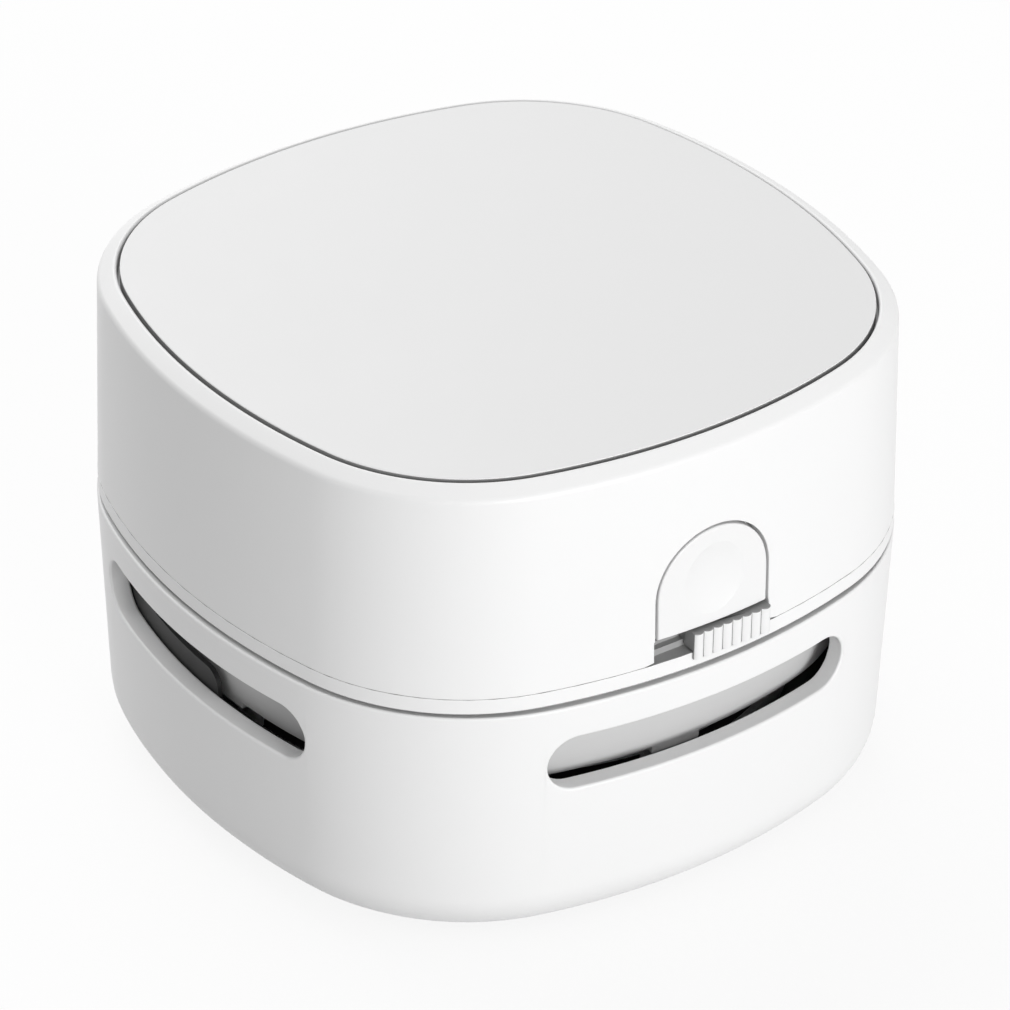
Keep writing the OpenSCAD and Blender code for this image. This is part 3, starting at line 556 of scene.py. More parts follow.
def quarter_turn(count):
    """Matrix that turns by quarters round the middle."""
    return Matrix.Rotation(math.radians(90 * count), 3, "Z")


def upright(points, y, quarter=0):
    """Sets plane points (x, z) upright at a depth y, and turns them by quarters round the middle."""
    turn = quarter_turn(quarter)
    return [turn @ Vector((x, y, z)) * MM for x, z in points]


def stadium(length, height, z, steps=20, x=0):
    """Outline with two round ends."""
    reach = (length - height) / 2
    return (arc((x + reach, z), height / 2, -90, 90, steps)
            + arc((x - reach, z), height / 2, 90, 270, steps))


def arch(width, low, high, steps=40):
    """The button's outline: flat below, a half circle on top."""
    return ([(-width / 2, low), (width / 2, low)]
            + arc((0, high - width / 2), width / 2, 0, 180, steps))


def corner_centre(shape):
    half, side_r, corner_r = shape
    away = side_r - half
    reach = side_r - corner_r
    return (math.sqrt(2 * reach ** 2 - away ** 2) - away) / 2


def spun_wall(name, shape, profile, closed=True, side_steps=SIDE_STEPS):
    """Sweeps a profile of (inset, z) points round a rounded square, in eight spins."""
    half, side_r, corner_r = shape
    away = side_r - half
    corner = corner_centre(shape)
    turn = math.atan2(corner, corner + away)
    start = Matrix.Rotation(-turn, 3, "Z")
    line = [(start @ Vector((side_r - inset, 0, z)) - Vector((away, 0, 0))) * MM for inset, z in profile]
    wall = draw_line(name, line, closed)
    edit(wall)
    bpy.ops.mesh.select_all(action="SELECT")
    for quarter in range(4):
        side_middle = quarter_turn(quarter) @ Vector((-away, 0, 0)) * MM
        corner_middle = quarter_turn(quarter) @ Vector((corner, corner, 0)) * MM
        bpy.ops.mesh.spin(steps=side_steps, angle=2 * turn, center=side_middle, axis=(0, 0, -1))
        bpy.ops.mesh.spin(steps=CORNER_STEPS, angle=math.radians(90) - 2 * turn, center=corner_middle,
                          axis=(0, 0, -1))
    leave_edit()
    return close_up(wall)


def fill_ring(piece, z):
    """Closes the open edge loop that lies at one level."""
    edit(piece)
    select_where(piece, lambda edge: edge.is_boundary and abs(middle(edge).z - z * MM) < NEAR, "EDGE")
    bpy.ops.mesh.edge_face_add()
    leave_edit()
    return close_up(piece)


def spun_solid(name, shape, profile, side_steps=SIDE_STEPS):
    """A spun wall whose two open ends are filled: a solid of rounded-square levels."""
    solid = spun_wall(name, shape, profile, closed=False, side_steps=side_steps)
    fill_ring(solid, profile[0][1])
    return fill_ring(solid, profile[-1][1])


# ---- Materials ----

class Socket:
    """An output of a node, on which arithmetic adds Math nodes."""

    def __init__(self, finish, link):
        self.finish = finish
        self.link = link

    def math(self, operation, *values):
        return self.finish.node("ShaderNodeMath", {"operation": operation}, dict(enumerate(values)))

    def __add__(self, other):
        return self.math("ADD", self, other)

    __radd__ = __add__

    def __mul__(self, other):
        return self.math("MULTIPLY", self, other)

    __rmul__ = __mul__

    def __lt__(self, other):
        return self.math("LESS_THAN", self, other)

    def __gt__(self, other):
        return self.math("GREATER_THAN", self, other)

    def __or__(self, other):
        return self.math("MAXIMUM", self, other)


class Room:
    """A node tree, such as the world's."""

    def __init__(self, tree):
        self.tree = tree

    def node(self, kind, settings, values, output=0):
        """Adds a node, sets it, gives its sockets values or links and returns one of its outputs."""
        made = self.tree.nodes.new(kind)
        for key, value in settings.items():
            setattr(made, key, value)
        for key, value in values.items():
            self.feed(made.inputs[key], value)
        return Socket(self, made.outputs[output])

    def feed(self, socket, value):
        if isinstance(value, Socket):
            self.tree.links.new(value.link, socket)
        else:
            socket.default_value = value


class Finish(Room):
    """A material with one Principled shader."""

    def __init__(self, name):
        self.material = bpy.data.materials.new(name)
        self.material.use_nodes = True
        super().__init__(self.material.node_tree)
        self.shader = self.tree.nodes["Principled BSDF"]
        self.position = self.node("ShaderNodeTexCoord", {}, {}, "Object")

    def set(self, **sockets):
        """Sets the shader's own sockets, whose names are written with underscores."""
        for key, value in sockets.items():
            self.feed(self.shader.inputs[key.replace("_", " ")], value)

    def noise(self, size, detail=3.0, stretch=(1, 1, 1)):
        """Cloudy pattern whose features are about a size in millimetres."""
        place = self.node("ShaderNodeMapping", {}, {"Vector": self.position, "Scale": stretch})
        return self.node("ShaderNodeTexNoise", {}, {"Vector": place, "Scale": 1 / (size * MM),
                                                    "Detail": detail, "Roughness": 0.55})

    def along(self, axis):
        """How far a point lies along an axis, in millimetres."""
        place = self.node("ShaderNodeSeparateXYZ", {}, {"Vector": self.position}, "XYZ".index(axis))
        return place * (1 / MM)

    def mix(self, mask, low, high):
        """Blends two colours."""
        return self.node("ShaderNodeMix", {"data_type": "RGBA"}, {0: mask, 6: low, 7: high}, 2)

    def bump(self, height, depth):
        """Bends the normal by a height pattern that is a depth in millimetres deep."""
        self.set(Normal=self.node("ShaderNodeBump", {}, {"Height": height, "Distance": depth * MM,
                                                         "Strength": 1.0}))


def rgb(level, other=None, third=None):
    """Grey from one level, or a colour from three."""
    if other is None:
        return (level, level, level, 1.0)
    return (level, other, third, 1.0)


def toned(colour, share):
    """The same colour, made darker or lighter by a share."""
    return tuple(min(1, share * level) for level in colour[:3]) + (1.0,)


def moulded(name, colour, roughness, grain=GRAIN, depth=GRAIN_DEPTH, coat=0.0, painted_shade_colour=None, where=None):
    """Moulded plastic: a fine spark-eroded grain, a slow drift of tone and perhaps a second colour where a
    mask says, which is painted shade.
    """
    finish = Finish(name)
    drift = finish.noise(DRIFT, 2.0)
    fine = finish.noise(grain, 2.0)
    tone = finish.mix(drift, toned(colour, DRIFT_TONE), colour)
    # A masked area gets the second colour: painted shade
    if where:
        tone = finish.mix(where(finish), tone, painted_shade_colour)
    finish.set(Base_Color=tone)
    finish.set(Roughness=roughness - 0.03 + 0.06 * finish.noise(PATCH, 3.0))
    finish.set(Specular_IOR_Level=0.45, Coat_Weight=coat, Coat_Roughness=0.2)
    finish.bump(fine, depth)
    return finish.material


def panel_gap_painted_shade(finish):
    """The panel's sides, painted dark grey as painted shade in the gap round the panel."""
    return finish.along("Z") < PANEL_TOP - PANEL_EDGE


def knob_painted_shade(finish):
    """The knob's top and all that lies behind its ribs, painted grey as painted shade under the button's
    overhang.
    """
    return (finish.along("Z") > KNOB_SHADE_Z) | (finish.along("Y") > KNOB_SHADE_Y)


def rubber(name, colour):
    """Matt rubber with a dusty mottle."""
    finish = Finish(name)
    mottle = finish.noise(MOTTLE, 4.0)
    finish.set(Base_Color=finish.mix(mottle, colour, toned(colour, DUST_TONE)))
    finish.set(Roughness=0.72 + 0.16 * mottle)
    finish.set(Specular_IOR_Level=0.35)
    finish.bump(finish.noise(RUBBER_GRAIN, 2.0), 0.006)
    return finish.material


def metal(name, colour, roughness, stretch=(1, 1, 1)):
    """Metal with drawn or brushed lines along the axis that the stretch slows."""
    finish = Finish(name)
    lines = finish.noise(METAL_GRAIN, 3.0, stretch)
    finish.set(Base_Color=finish.mix(lines, toned(colour, DULL_TONE), colour))
    finish.set(Metallic=1.0, Roughness=roughness - 0.06 + 0.14 * lines)
    finish.bump(lines, 0.0015)
    return finish.material


def felt(name, colour):
    """Pressed fibre, with clumps and fine hairs."""
    finish = Finish(name)
    clumps = finish.noise(CLUMP, 5.0)
    hairs = finish.noise(FIBRE, 3.0, (1, 4, 1))
    finish.set(Base_Color=finish.mix(0.6 * clumps + 0.4 * hairs, toned(colour, FELT_TONE), colour))
    finish.set(Roughness=0.9 + 0.05 * hairs)
    finish.set(Sheen_Weight=0.3)
    finish.bump(clumps + hairs, 0.06)
    return finish.material


def circuit_board(name):
    """Green solder mask with a faint weave and copper tracks under it."""
    finish = Finish(name)
    tracks = finish.node("ShaderNodeTexBrick", {}, {"Vector": finish.position, "Scale": TRACK_SCALE,
                                                    "Color1": rgb(0.02, 0.16, 0.07),
                                                    "Color2": rgb(0.025, 0.2, 0.09),
                                                    "Mortar": rgb(0.05, 0.3, 0.14)})
    finish.set(Base_Color=tracks)
    finish.set(Roughness=0.3 + 0.1 * finish.noise(0.8))
    finish.set(Coat_Weight=0.4)
    return finish.material


def light_guide(name):
    """Clear, slightly milky moulding."""
    finish = Finish(name)
    cloud = finish.noise(1.0, 2.0)
    finish.set(Base_Color=finish.mix(cloud, rgb(0.7, 0.86, 0.76), rgb(0.78, 0.92, 0.83)))
    finish.set(Roughness=0.18 + 0.1 * cloud)
    finish.set(Transmission_Weight=0.5, IOR=1.49)
    return finish.material


# ---- Dust bin ----

def bin_shell(material):
    """White outer shell: the swept wall, its floor, four long slots and the latch catches."""
    profile = rounded_path([
        (BIN_DRAFT, FLOOR_Z, FOOT_EDGE_R),
        (0, RIM_Z, RIM_EDGE_R),
        (TONGUE_INSET, RIM_Z, TONGUE_ROUNDINGS[0]),
        (TONGUE_INSET, TONGUE_TOP, TONGUE_ROUNDINGS[1]),
        (BIN_WALL, TONGUE_TOP, TONGUE_ROUNDINGS[2]),
        (BIN_WALL + BIN_DRAFT, FLOOR_TOP, FOOT_EDGE_R - BIN_WALL),
        (FLOOR_REACH, FLOOR_TOP, 0),
        (FLOOR_REACH, FLOOR_Z, 0)], 8)
    shell = spun_solid("bin_shell", BIN_SHAPE, profile[-1:] + profile[:-1])
    combine(shell, cylinder("plate_hole", PLATE_HOLE_R, 0, FLOOR_TOP + PAST, vertices=ROUND_STEPS))
    slot = stadium(SLOT_LEN, SLOT_H, SLOT_Z)
    for quarter, (x, y) in enumerate(CLAMP_PLACES):
        combine(shell, bar("slot_cutter", slot, SLOT_CUT_START, SLOT_CUT_LEN, quarter))
        combine(shell, cylinder("screw_seat", SEAT_R, 0, SEAT_Z, x, y, 32))
        combine(shell, cylinder("screw_hole", SCREW_HOLE_R, 0, FLOOR_TOP + PAST, x, y, 24))
    close_up(shell, WELD)
    round_edges(shell, SLOT_EDGE, 4, lambda place: abs(place.z - SLOT_Z) < SLOT_EDGES_REACH)
    round_edges(shell, FLOOR_EDGE, 2, lambda place: place.z < FLOOR_Z + HAIR)
    for side in (-1, 1):
        combine(shell, latch_catch(side), "UNION")
    return settle(shell, "dust_bin", "white_shell", material, "lower_housing")


def latch_catch(side):
    """Small ledge inside the front wall, with a sloped top, that a hook snaps under."""
    low = CATCH_TOP - CATCH_H
    outline = [(CATCH_WALL_Y, low), (CATCH_EDGE_Y, low), (CATCH_EDGE_Y, CATCH_TOP - CATCH_SLOPE),
               (CATCH_EDGE_Y - CATCH_SLOPE, CATCH_TOP), (CATCH_WALL_Y, CATCH_TOP)]
    return cross_bar("latch_catch", outline, side * CATCH_X - CATCH_W / 2, CATCH_W)


def brush_strands(material):
    """Tufts of tapered strands in two staggered rows round the inlet, which leave four gaps."""
    low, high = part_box("brush_ring")
    tip, root = low[2] / MM, high[2] / MM - BACKING_T
    length = root + STRAND_SINK - tip
    dice = random.Random(STRAND_SEED)
    strands = []
    for index in range(STRANDS):
        spread = TUFT_R * math.sqrt((index + 0.5) / STRANDS)
        angle = GOLDEN_ANGLE * index
        place = (spread * math.cos(angle), spread * math.sin(angle),
                 tip + length / 2 + dice.uniform(0, STRAND_UNEVEN))
        lean = (dice.uniform(-STRAND_LEAN, STRAND_LEAN), dice.uniform(-STRAND_LEAN, STRAND_LEAN), angle)
        strands.append(add(bpy.ops.mesh.primitive_cone_add, "strand", vertices=5,
                           radius1=STRAND_TIP_R * MM, radius2=STRAND_ROOT_R * MM, depth=length * MM,
                           rotation=lean, location=Vector(place) * MM))
    tuft = join("tuft", strands)
    tufts = []
    for row in (0, 1):
        for index in range(ROW_TUFTS):
            turn = 360 * (index + row / 2) / ROW_TUFTS
            if abs(turn % 90 - 45) < ARC_HALF:
                tufts.append(placed_copy(tuft, (BRUSH_R + (2 * row - 1) * ROW_GAP, 0, 0), turn))
    bpy.data.objects.remove(tuft)
    backing = ring("brush_backing", BRUSH_R + BACKING_REACH, BRUSH_R - BACKING_REACH, root,
                   high[2] / MM, BACKING_EDGE)
    return settle(join("brush_bristles", [backing] + tufts), "dust_bin", "bristle", material, "brush_ring")


def low_liner(material):
    """Liner, black as painted shade for the dark inside of the bin, whose edge stays just under the slots,
    with the fin that stands on it.
    """
    liner = close_up(mesh_copy("bin_liner", "slot_liner"))
    combine(liner, block("liner_trim", ACROSS, ACROSS, (LINER_TOP, LINER_TOP + LINER_TRIM_H)))
    return settle(join("slot_liner", [liner, slot_fin()]), "dust_bin", "dark_liner", material, "bin_liner")


def slot_fin():
    """Thin wall with a round end, which follows the bin's wall behind the left slot."""
    near, far = FIN_INSETS
    high = FIN_TOP + PAST
    fin = spun_wall("fin", BIN_SHAPE, [(near, FIN_Z), (near, high), (far, high), (far, FIN_Z)])
    end_r = (FIN_TOP - FIN_Z) / 2
    outline = ([(FIN_START, FIN_Z), (FIN_END, FIN_Z)]
               + arc((FIN_END - end_r, FIN_TOP - end_r), end_r, 0, 90, 12)
               + [(FIN_START, FIN_TOP)])
    return combine(fin, bar("fin_outline", outline, -BIN_SHAPE[0], FIN_CUT_LEN, 3), "INTERSECT")


def base_screws(material):
    """Four pan-head screws with cross recesses, whose heads look down."""
    head = cylinder("screw", SCREW_HEAD_R, SCREW_FACE_Z, SEAT_Z, vertices=40)
    round_edges(head, SCREW_HEAD_EDGE, 4, lambda place: abs(place.z - SCREW_FACE_Z) < HAIR)
    for turn in (0, 90):
        combine(head, add(bpy.ops.mesh.primitive_cube_add, "recess", size=MM, scale=RECESS,
                          location=(0, 0, SCREW_FACE_Z * MM), rotation=(0, 0, math.radians(turn))))
    shank = cylinder("shank", SHANK_R, SEAT_Z, SHANK_TOP, vertices=20)
    screw = join("screw", [head, shank])
    screws = [placed_copy(screw, (x, y, 0)) for x, y in CLAMP_PLACES]
    bpy.data.objects.remove(screw)
    return settle(join("base_screw_set", screws), "dust_bin", "screw_steel", material, "base_screws")


# ---- Power head ----

def head_shell(material):
    """White upper shell: bevelled rim, ledge for the panel, button opening, notch and charging port."""
    ledge_inset = LIP_INSET + LEDGE_W
    profile = rounded_path([
        (0, DECK_TOP, INNER_EDGE),
        (HEAD_DRAFT, TOP_Z - BEVEL_H, BEVEL_EDGE_R),
        (LIP_INSET, TOP_Z, LIP_R),
        (LIP_INSET, LEDGE_Z, INNER_EDGE),
        (ledge_inset, LEDGE_Z, INNER_EDGE),
        (ledge_inset, HOOK_Z, 0),
        (ledge_inset - LEDGE_FOOT_W, HOOK_Z, 0),
        (HEAD_DRAFT + HEAD_WALL, HOOK_Z - LEDGE_SLOPE_H, 0),
        (HEAD_WALL, DECK_TOP, 0)], 6)
    shell = spun_wall("head_shell", HEAD_SHAPE, profile)
    opening = arch(BUTTON_W + 2 * BUTTON_GAP, DECK_TOP + NOTCH_H, BUTTON_TOP + BUTTON_GAP)
    combine(shell, bar("button_opening", opening, FRONT_CUT_Y, BUTTON_CUT_LEN))
    combine(shell, notch_cutter())
    port = stadium(USB_W, USB_H, USB_Z, 12)
    combine(shell, bar("port", port, BACK_CUT_Y, CUT_LEN))
    light = stadium(LIGHT_D + HAIR, LIGHT_D, USB_Z, 12, LIGHT_X)
    combine(shell, bar("light", light, BACK_CUT_Y, CUT_LEN))
    close_up(shell, WELD)
    round_edges(shell, OPENING_EDGE, 3, at_openings)
    return settle(shell, "power_head", "white_shell", material, "upper_housing")


def at_openings(place):
    """Whether a place on the shell is at the button's opening, the notch, the port or its light."""
    in_walls = abs(place.y) > OPENINGS_Y and abs(place.x) < OPENINGS_X
    return in_walls and OPENINGS_Z[0] < place.z < OPENINGS_Z[1]


def notch_cutter():
    """The knob's notch, with a thin wedge at each side of its foot."""
    low, high = DECK_TOP - PAST, DECK_TOP + NOTCH_H + HAIR
    reach = NOTCH_W / 2
    right = [(reach + FLARE_W, low), (reach + FLARE_W, DECK_TOP + FLARE_TIP_H),
             (reach, DECK_TOP + FLARE_H), (reach, high)]
    left = [(-x, z) for x, z in reversed(right)]
    return bar("notch", left[-1:] + right + left[:-1], FRONT_CUT_Y, CUT_LEN)


def top_panel(material):
    """Inlaid panel with a softened edge, and four snap legs under it."""
    inset = LIP_INSET + PANEL_GAP
    middle_inset = inset + PANEL_RING_W
    edge = rounded_path([
        (inset, LEDGE_Z, INNER_EDGE),
        (inset, PANEL_TOP, PANEL_EDGE),
        (middle_inset, PANEL_TOP, 0),
        (middle_inset, LEDGE_Z, 0)], 5)
    panel = spun_solid("panel", HEAD_SHAPE, edge[-1:] + edge[:-1])
    hook_top, hook_edge, foot = (HOOK_Z - drop for drop in HOOK_LEVELS)
    outline = [(LEG_Y, LEDGE_Z), (LEG_Y + LEG_T, LEDGE_Z), (LEG_Y + LEG_T, foot), (LEG_Y, foot),
               (LEG_Y - HOOK_REACH, hook_edge), (LEG_Y, hook_top)]
    leg = cross_bar("snap_leg", outline, -LEG_W / 2, LEG_W)
    legs = [leg] + [placed_copy(leg, (0, 0, 0), turn) for turn in (90, 180, 270)]
    return settle(join("inlaid_panel", [panel] + legs), "power_head", "panel_grey", material, "top_panel")


def deck_band(material):
    """Edge of the deck, which shows as a thin band between the head's shell and the seam."""
    profile = rounded_path([
        (-BAND_OUT, DECK_Z, BAND_ROUNDINGS[0]),
        (-BAND_OUT, BAND_TOP, BAND_ROUNDINGS[1]),
        (BAND_T, BAND_TOP, 0),
        (BAND_T, DECK_Z, 0)], 5)
    band = spun_wall("deck_band", HEAD_SHAPE, profile)
    return settle(band, "power_head", "white_shell", material)


def exhaust_skirt(material):
    """Skirt on the fan shroud that guides the air to the slots; it bulges slightly and has four tabs."""
    reach = math.degrees(math.asin((SKIRT_MIDDLE - SKIRT_LOW) / SKIRT_BULGE_R))
    bulge = arc((SKIRT_BULGE_R, SKIRT_MIDDLE), SKIRT_BULGE_R, 180 + reach, 180, 10)
    edge = arc((SKIRT_EDGE_R, SKIRT_TOP - SKIRT_EDGE_R), SKIRT_EDGE_R, 180, 90, 6)
    profile = [(bulge[0][0], SKIRT_START)] + bulge + edge
    skirt = spun_solid("exhaust_skirt", SKIRT_SHAPE, profile)
    under = block("under_skirt", ACROSS, ACROSS, (LINER_TOP - PAST, SKIRT_LOW))
    combine(under, block("tab_row", SKIRT_TAB, WIDER, (0, SKIRT_CUT_TOP)))
    combine(under, block("tab_column", WIDER, SKIRT_TAB, (0, SKIRT_CUT_TOP)))
    combine(skirt, under)
    combine(skirt, cylinder("shroud_hole", SHROUD_R + SHROUD_GAP, 0, SKIRT_CUT_TOP, vertices=160))
    return settle(skirt, "power_head", "white_inner", material)


def release_button(material):
    """Arched push button: its face follows the head's bowed wall and has a shallow dimple."""
    face = spun_solid("button", HEAD_SHAPE, [(0, DECK_TOP), (HEAD_DRAFT, TOP_Z - BEVEL_H)],
                      BUTTON_FACE_STEPS)
    cap = bar("cap", arch(BUTTON_W, BUTTON_Z, BUTTON_TOP), FRONT_CUT_Y, BUTTON_LEN)
    combine(face, cap, "INTERSECT")
    ball_r = (DIMPLE_W ** 2 / 4 + DIMPLE_DEPTH ** 2) / (2 * DIMPLE_DEPTH)
    ball_y = DIMPLE_Y + DIMPLE_DEPTH - ball_r
    ball = add(bpy.ops.mesh.primitive_uv_sphere_add, "ball", segments=BALL_STEPS, ring_count=BALL_STEPS,
               radius=ball_r * MM, location=(0, ball_y * MM, DIMPLE_Z * MM),
               rotation=(math.radians(90), 0, 0))
    combine(face, ball)
    close_up(face, BUTTON_WELD)
    round_edges(face, BUTTON_EDGE, 4, lambda place: place.y < FRONT_Y + BUTTON_FACE_DEPTH)
    plate = bar("flange", arch(FLANGE_W, FLANGE_Z, FLANGE_TOP), FLANGE_Y, FLANGE_T)
    return settle(join("push_button", [face, plate]), "release_latch", "button_white", material,
                  "release_button")


def slide_knob(material):
    """Knob with eight rounded ribs, and the stem that runs back to the switch."""
    left, right = KNOB_X - KNOB_W / 2, KNOB_X + KNOB_W / 2
    low = KNOB_TOP - KNOB_H
    half = math.degrees(math.asin(RIB_PITCH / 2 / RIB_R))
    outline = [(right, KNOB_BACK), (left, KNOB_BACK)]
    for index in range(RIB_COUNT):
        centre = (left + RIB_PITCH * (index + 0.5), KNOB_FRONT + RIB_R)
        outline += arc(centre, RIB_R, 270 - half, 270 + half, 8)
    points = [Vector((x, y, low)) * MM for x, y in outline]
    knob = close_up(prism("knob", points, Vector((0, 0, KNOB_H * MM))), KNOB_WELD)
    combine(knob, block("knob_step", (left - PAST, right + PAST), (KNOB_STEP_Y, KNOB_BACK + PAST),
                        (low - PAST, KNOB_STEP_Z)))
    for back, under in KNOB_BACKS:
        ys = (KNOB_BACK - KNOB_OVERLAP, back)
        combine(knob, block("knob_back", (left, right), ys, (under, KNOB_TOP)), "UNION")
    close_up(knob, KNOB_WELD)
    round_edges(knob, KNOB_EDGE, 2)
    stem = block("stem", (KNOB_X - STEM_REACH, KNOB_X + STEM_REACH), STEM_YS, STEM_ZS)
    return settle(join("ribbed_knob", [knob, stem]), "slide_knob", "knob_white", material, "switch_knob")


def button_spring(material):
    """Coil spring behind the button, at one fixed length."""
    length = SPRING_BACK - SPRING_FRONT
    run = length - 2 * (SPRING_WIRE_R + SPRING_SLACK)
    steps = TURN_STEPS * SPRING_TURNS
    wire = add(bpy.ops.mesh.primitive_circle_add, "coil_spring", vertices=10, radius=SPRING_WIRE_R * MM,
               fill_type="NGON", location=(SPRING_R * MM, 0, 0), rotation=(math.radians(90), 0, 0))
    modify(wire, "SCREW", angle=math.radians(360 * SPRING_TURNS), screw_offset=run * MM,
           iterations=1, steps=steps, render_steps=steps, use_merge_vertices=True)
    wire.rotation_euler.x = math.radians(-90)
    wire.location = Vector((0, SPRING_FRONT + SPRING_WIRE_R + SPRING_SLACK, SPRING_Z)) * MM
    activate(wire)
    bpy.ops.object.transform_apply(location=True, rotation=True)
    close_up(wire)
    settle(wire, "power_head", "spring_steel", material, "latch_spring")
    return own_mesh(wire)


# ---- Room, lamps and camera ----

def floor():
    """White floor that reads white to the eye and in reflections, and keeps the cleaner's soft shadow."""
    plane = add(bpy.ops.mesh.primitive_plane_add, "floor", size=FLOOR_SIZE)
    finish = Finish("floor_white")
    seen = seen_rays(finish)
    finish.set(Base_Color=finish.mix(seen, rgb(FLOOR_TONE), rgb(1.0)))
    finish.set(Roughness=1.0, Specular_IOR_Level=0.0)
    white = finish.node("ShaderNodeEmission", {}, {"Color": rgb(1.0), "Strength": 1.0})
    matt = Socket(finish, finish.shader.outputs[0])
    blend = finish.node("ShaderNodeMixShader", {}, {0: seen * FLOOR_GLOW, 1: matt, 2: white})
    finish.feed(finish.tree.nodes["Material Output"].inputs["Surface"], blend)
    plane.data.materials.append(finish.material)


def seen_rays(finish):
    """1 for rays from the camera and for mirrored or refracted ones, 0 for those that carry light."""
    path = finish.node("ShaderNodeLightPath", {}, {}, "Is Camera Ray").link.node
    seen, mirrored, refracted = (Socket(finish, path.outputs[kind + " Ray"])
                                 for kind in ("Is Camera", "Is Glossy", "Is Transmission"))
    return seen | mirrored | refracted


def world():
    """Even sky light, which is plain white to the eye and in reflections."""
    sky = bpy.data.worlds.new("studio")
    bpy.context.scene.world = sky
    sky.use_nodes = True
    finish = Room(sky.node_tree)
    light = finish.node("ShaderNodeBackground", {}, {"Color": rgb(1.0), "Strength": SKY_LEVEL})
    white = finish.node("ShaderNodeBackground", {}, {"Color": rgb(1.0), "Strength": 1.0})
    blend = finish.node("ShaderNodeMixShader", {}, {0: seen_rays(finish), 1: light, 2: white})
    finish.feed(sky.node_tree.nodes["World Output"].inputs["Surface"], blend)


def soft_box(name, direction, distance, size, level):
    """Square lamp that gives a face turned towards it a share of full light."""
    towards = Vector(direction).normalized()
    data = bpy.data.lights.new(name, "AREA")
    data.size = size
    data.energy = level * math.pi ** 2 * distance ** 2
    lamp = bpy.data.objects.new(name, data)
    bpy.context.scene.collection.objects.link(lamp)
    lamp.location = towards * distance
    lamp.rotation_euler = towards.to_track_quat("Z", "Y").to_euler()


def camera():
    """Camera where the photograph was taken from."""
    angles = (CAMERA_AZIMUTH, CAMERA_ELEVATION, CAMERA_ROLL)
    azimuth, elevation, roll = (math.radians(angle) for angle in angles)
    back = Vector((math.sin(azimuth) * math.cos(elevation), -math.cos(azimuth) * math.cos(elevation),
                   math.sin(elevation)))
    right = Vector((math.cos(azimuth), math.sin(azimuth), 0))
    up = back.cross(right)
    place = back * CAMERA_DISTANCE + Vector(CAMERA_AIM) + CAMERA_SHIFT[0] * right + CAMERA_SHIFT[1] * up
    rolled_right = right * math.cos(roll) + up * math.sin(roll)
    rolled_up = up * math.cos(roll) - right * math.sin(roll)
    facing = Matrix((rolled_right, rolled_up, back)).transposed().to_4x4()
    data = bpy.data.cameras.new("photo_camera")
    data.sensor_width = SENSOR_W
    data.lens = CAMERA_LENS
    data.clip_end = VIEW_END
    eye = bpy.data.objects.new("photo_camera", data)
    bpy.context.scene.collection.objects.link(eye)
    eye.matrix_world = Matrix.Translation(place * MM) @ facing
    bpy.context.scene.camera = eye


# ---- The cleaner ----

def dress(material, *nodes):
    """Gives CAD nodes that stay a material."""
    for node in nodes:
        frame["nodes"][node].data.materials.clear()
        frame["nodes"][node].data.materials.append(material)


camera()
white_shell = moulded("white_shell", rgb(0.93), 0.38)
white_inner = moulded("white_inner", rgb(0.88), 0.45)
pale_cup = moulded("pale_cup", rgb(0.82), 0.42)
dark_plastic = moulded("dark_plastic", rgb(0.02), 0.5)
screw_steel = metal("screw_steel", rgb(0.6, 0.6, 0.62), 0.35)
fine_steel = metal("fine_steel", rgb(0.7, 0.7, 0.72), 0.3, (1, 1, 12))

bin_shell(white_shell)
brush_strands(moulded("bristle_nylon", rgb(0.05), 0.35))
head_shell(white_shell)
# Panel: its sides get dark grey, painted shade in the gap round it
top_panel(moulded("panel_grey", rgb(0.84), 0.42, grain=0.3, depth=0.003, painted_shade_colour=rgb(0.25),
                  where=panel_gap_painted_shade))
deck_band(white_shell)
exhaust_skirt(moulded("skirt_grey", rgb(0.62), 0.45))
release_button(moulded("button_white", rgb(0.9), 0.36))
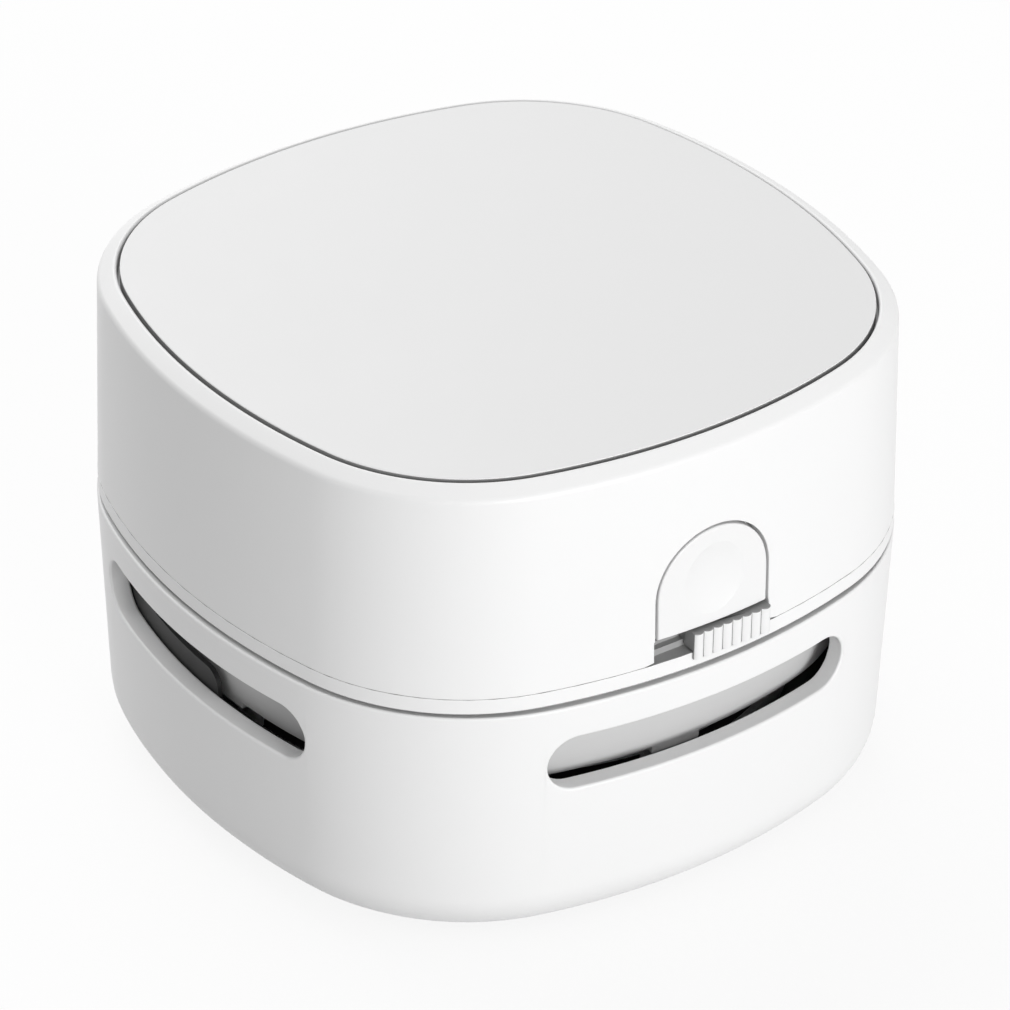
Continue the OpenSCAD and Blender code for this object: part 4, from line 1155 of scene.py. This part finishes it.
# Knob: white ribs, with painted shade in grey on its top and behind the ribs
slide_knob(moulded("knob_white", rgb(0.9), 0.36, painted_shade_colour=rgb(0.3), where=knob_painted_shade))
# Liner and its fin: black, painted shade deep in the bin under the slots
low_liner(moulded("liner_painted_shade", rgb(0.01), 0.5))
button_spring(metal("spring_steel", rgb(0.6, 0.6, 0.62), 0.28))
base_screws(screw_steel)

dress(pale_cup, "dust_cup")
dress(dark_plastic, "filter_frame", "switch_actuator")
# Deck: mid-grey, painted shade that darkens the notch and the seam
dress(moulded("deck_painted_shade", rgb(0.4), 0.45), "motor_deck")
dress(moulded("plate_white", rgb(0.88), 0.42), "base_plate")
dress(rubber("foot_rubber", rgb(0.12)), "rubber_feet")
dress(rubber("seal_rubber", rgb(0.025)), "cup_seal")
dress(white_inner, "fan_shroud", "latch_slider")
dress(screw_steel, "shroud_screws", "clamp_screws", "housing_screws")
dress(felt("filter_felt", rgb(0.86, 0.84, 0.78)), "filter_pad")
dress(fine_steel, "motor_can", "motor_shaft", "slide_switch")
dress(moulded("cap_plastic", rgb(0.8, 0.8, 0.76), 0.4), "motor_end_cap")
dress(metal("clamp_steel", rgb(0.66, 0.67, 0.7), 0.3, (12, 1, 1)), "motor_clamp")
dress(moulded("cell_wrap", rgb(0.05, 0.22, 0.45), 0.25, coat=0.5), "battery_cell")
dress(moulded("cradle_plastic", rgb(0.08), 0.45), "battery_cradle")
dress(metal("tab_nickel", rgb(0.75, 0.73, 0.68), 0.3), "battery_tabs")
dress(circuit_board("board_green"), "charge_board")
dress(metal("socket_steel", rgb(0.72, 0.73, 0.75), 0.25, (1, 8, 1)), "usb_socket")
dress(light_guide("light_guide"), "charge_light")
dress(moulded("wire_red", rgb(0.5, 0.03, 0.02), 0.35), "lead_wires")
dress(moulded("fan_plastic", rgb(0.07), 0.4), "impeller")

floor()
world()
soft_box("key_lamp", KEY_FROM, KEY_DISTANCE, KEY_SIZE, KEY_LEVEL)
soft_box("back_lamp", BACK_FROM, BACK_DISTANCE, BACK_SIZE, BACK_LEVEL)

scene = bpy.context.scene
scene.view_settings.view_transform = "Standard"
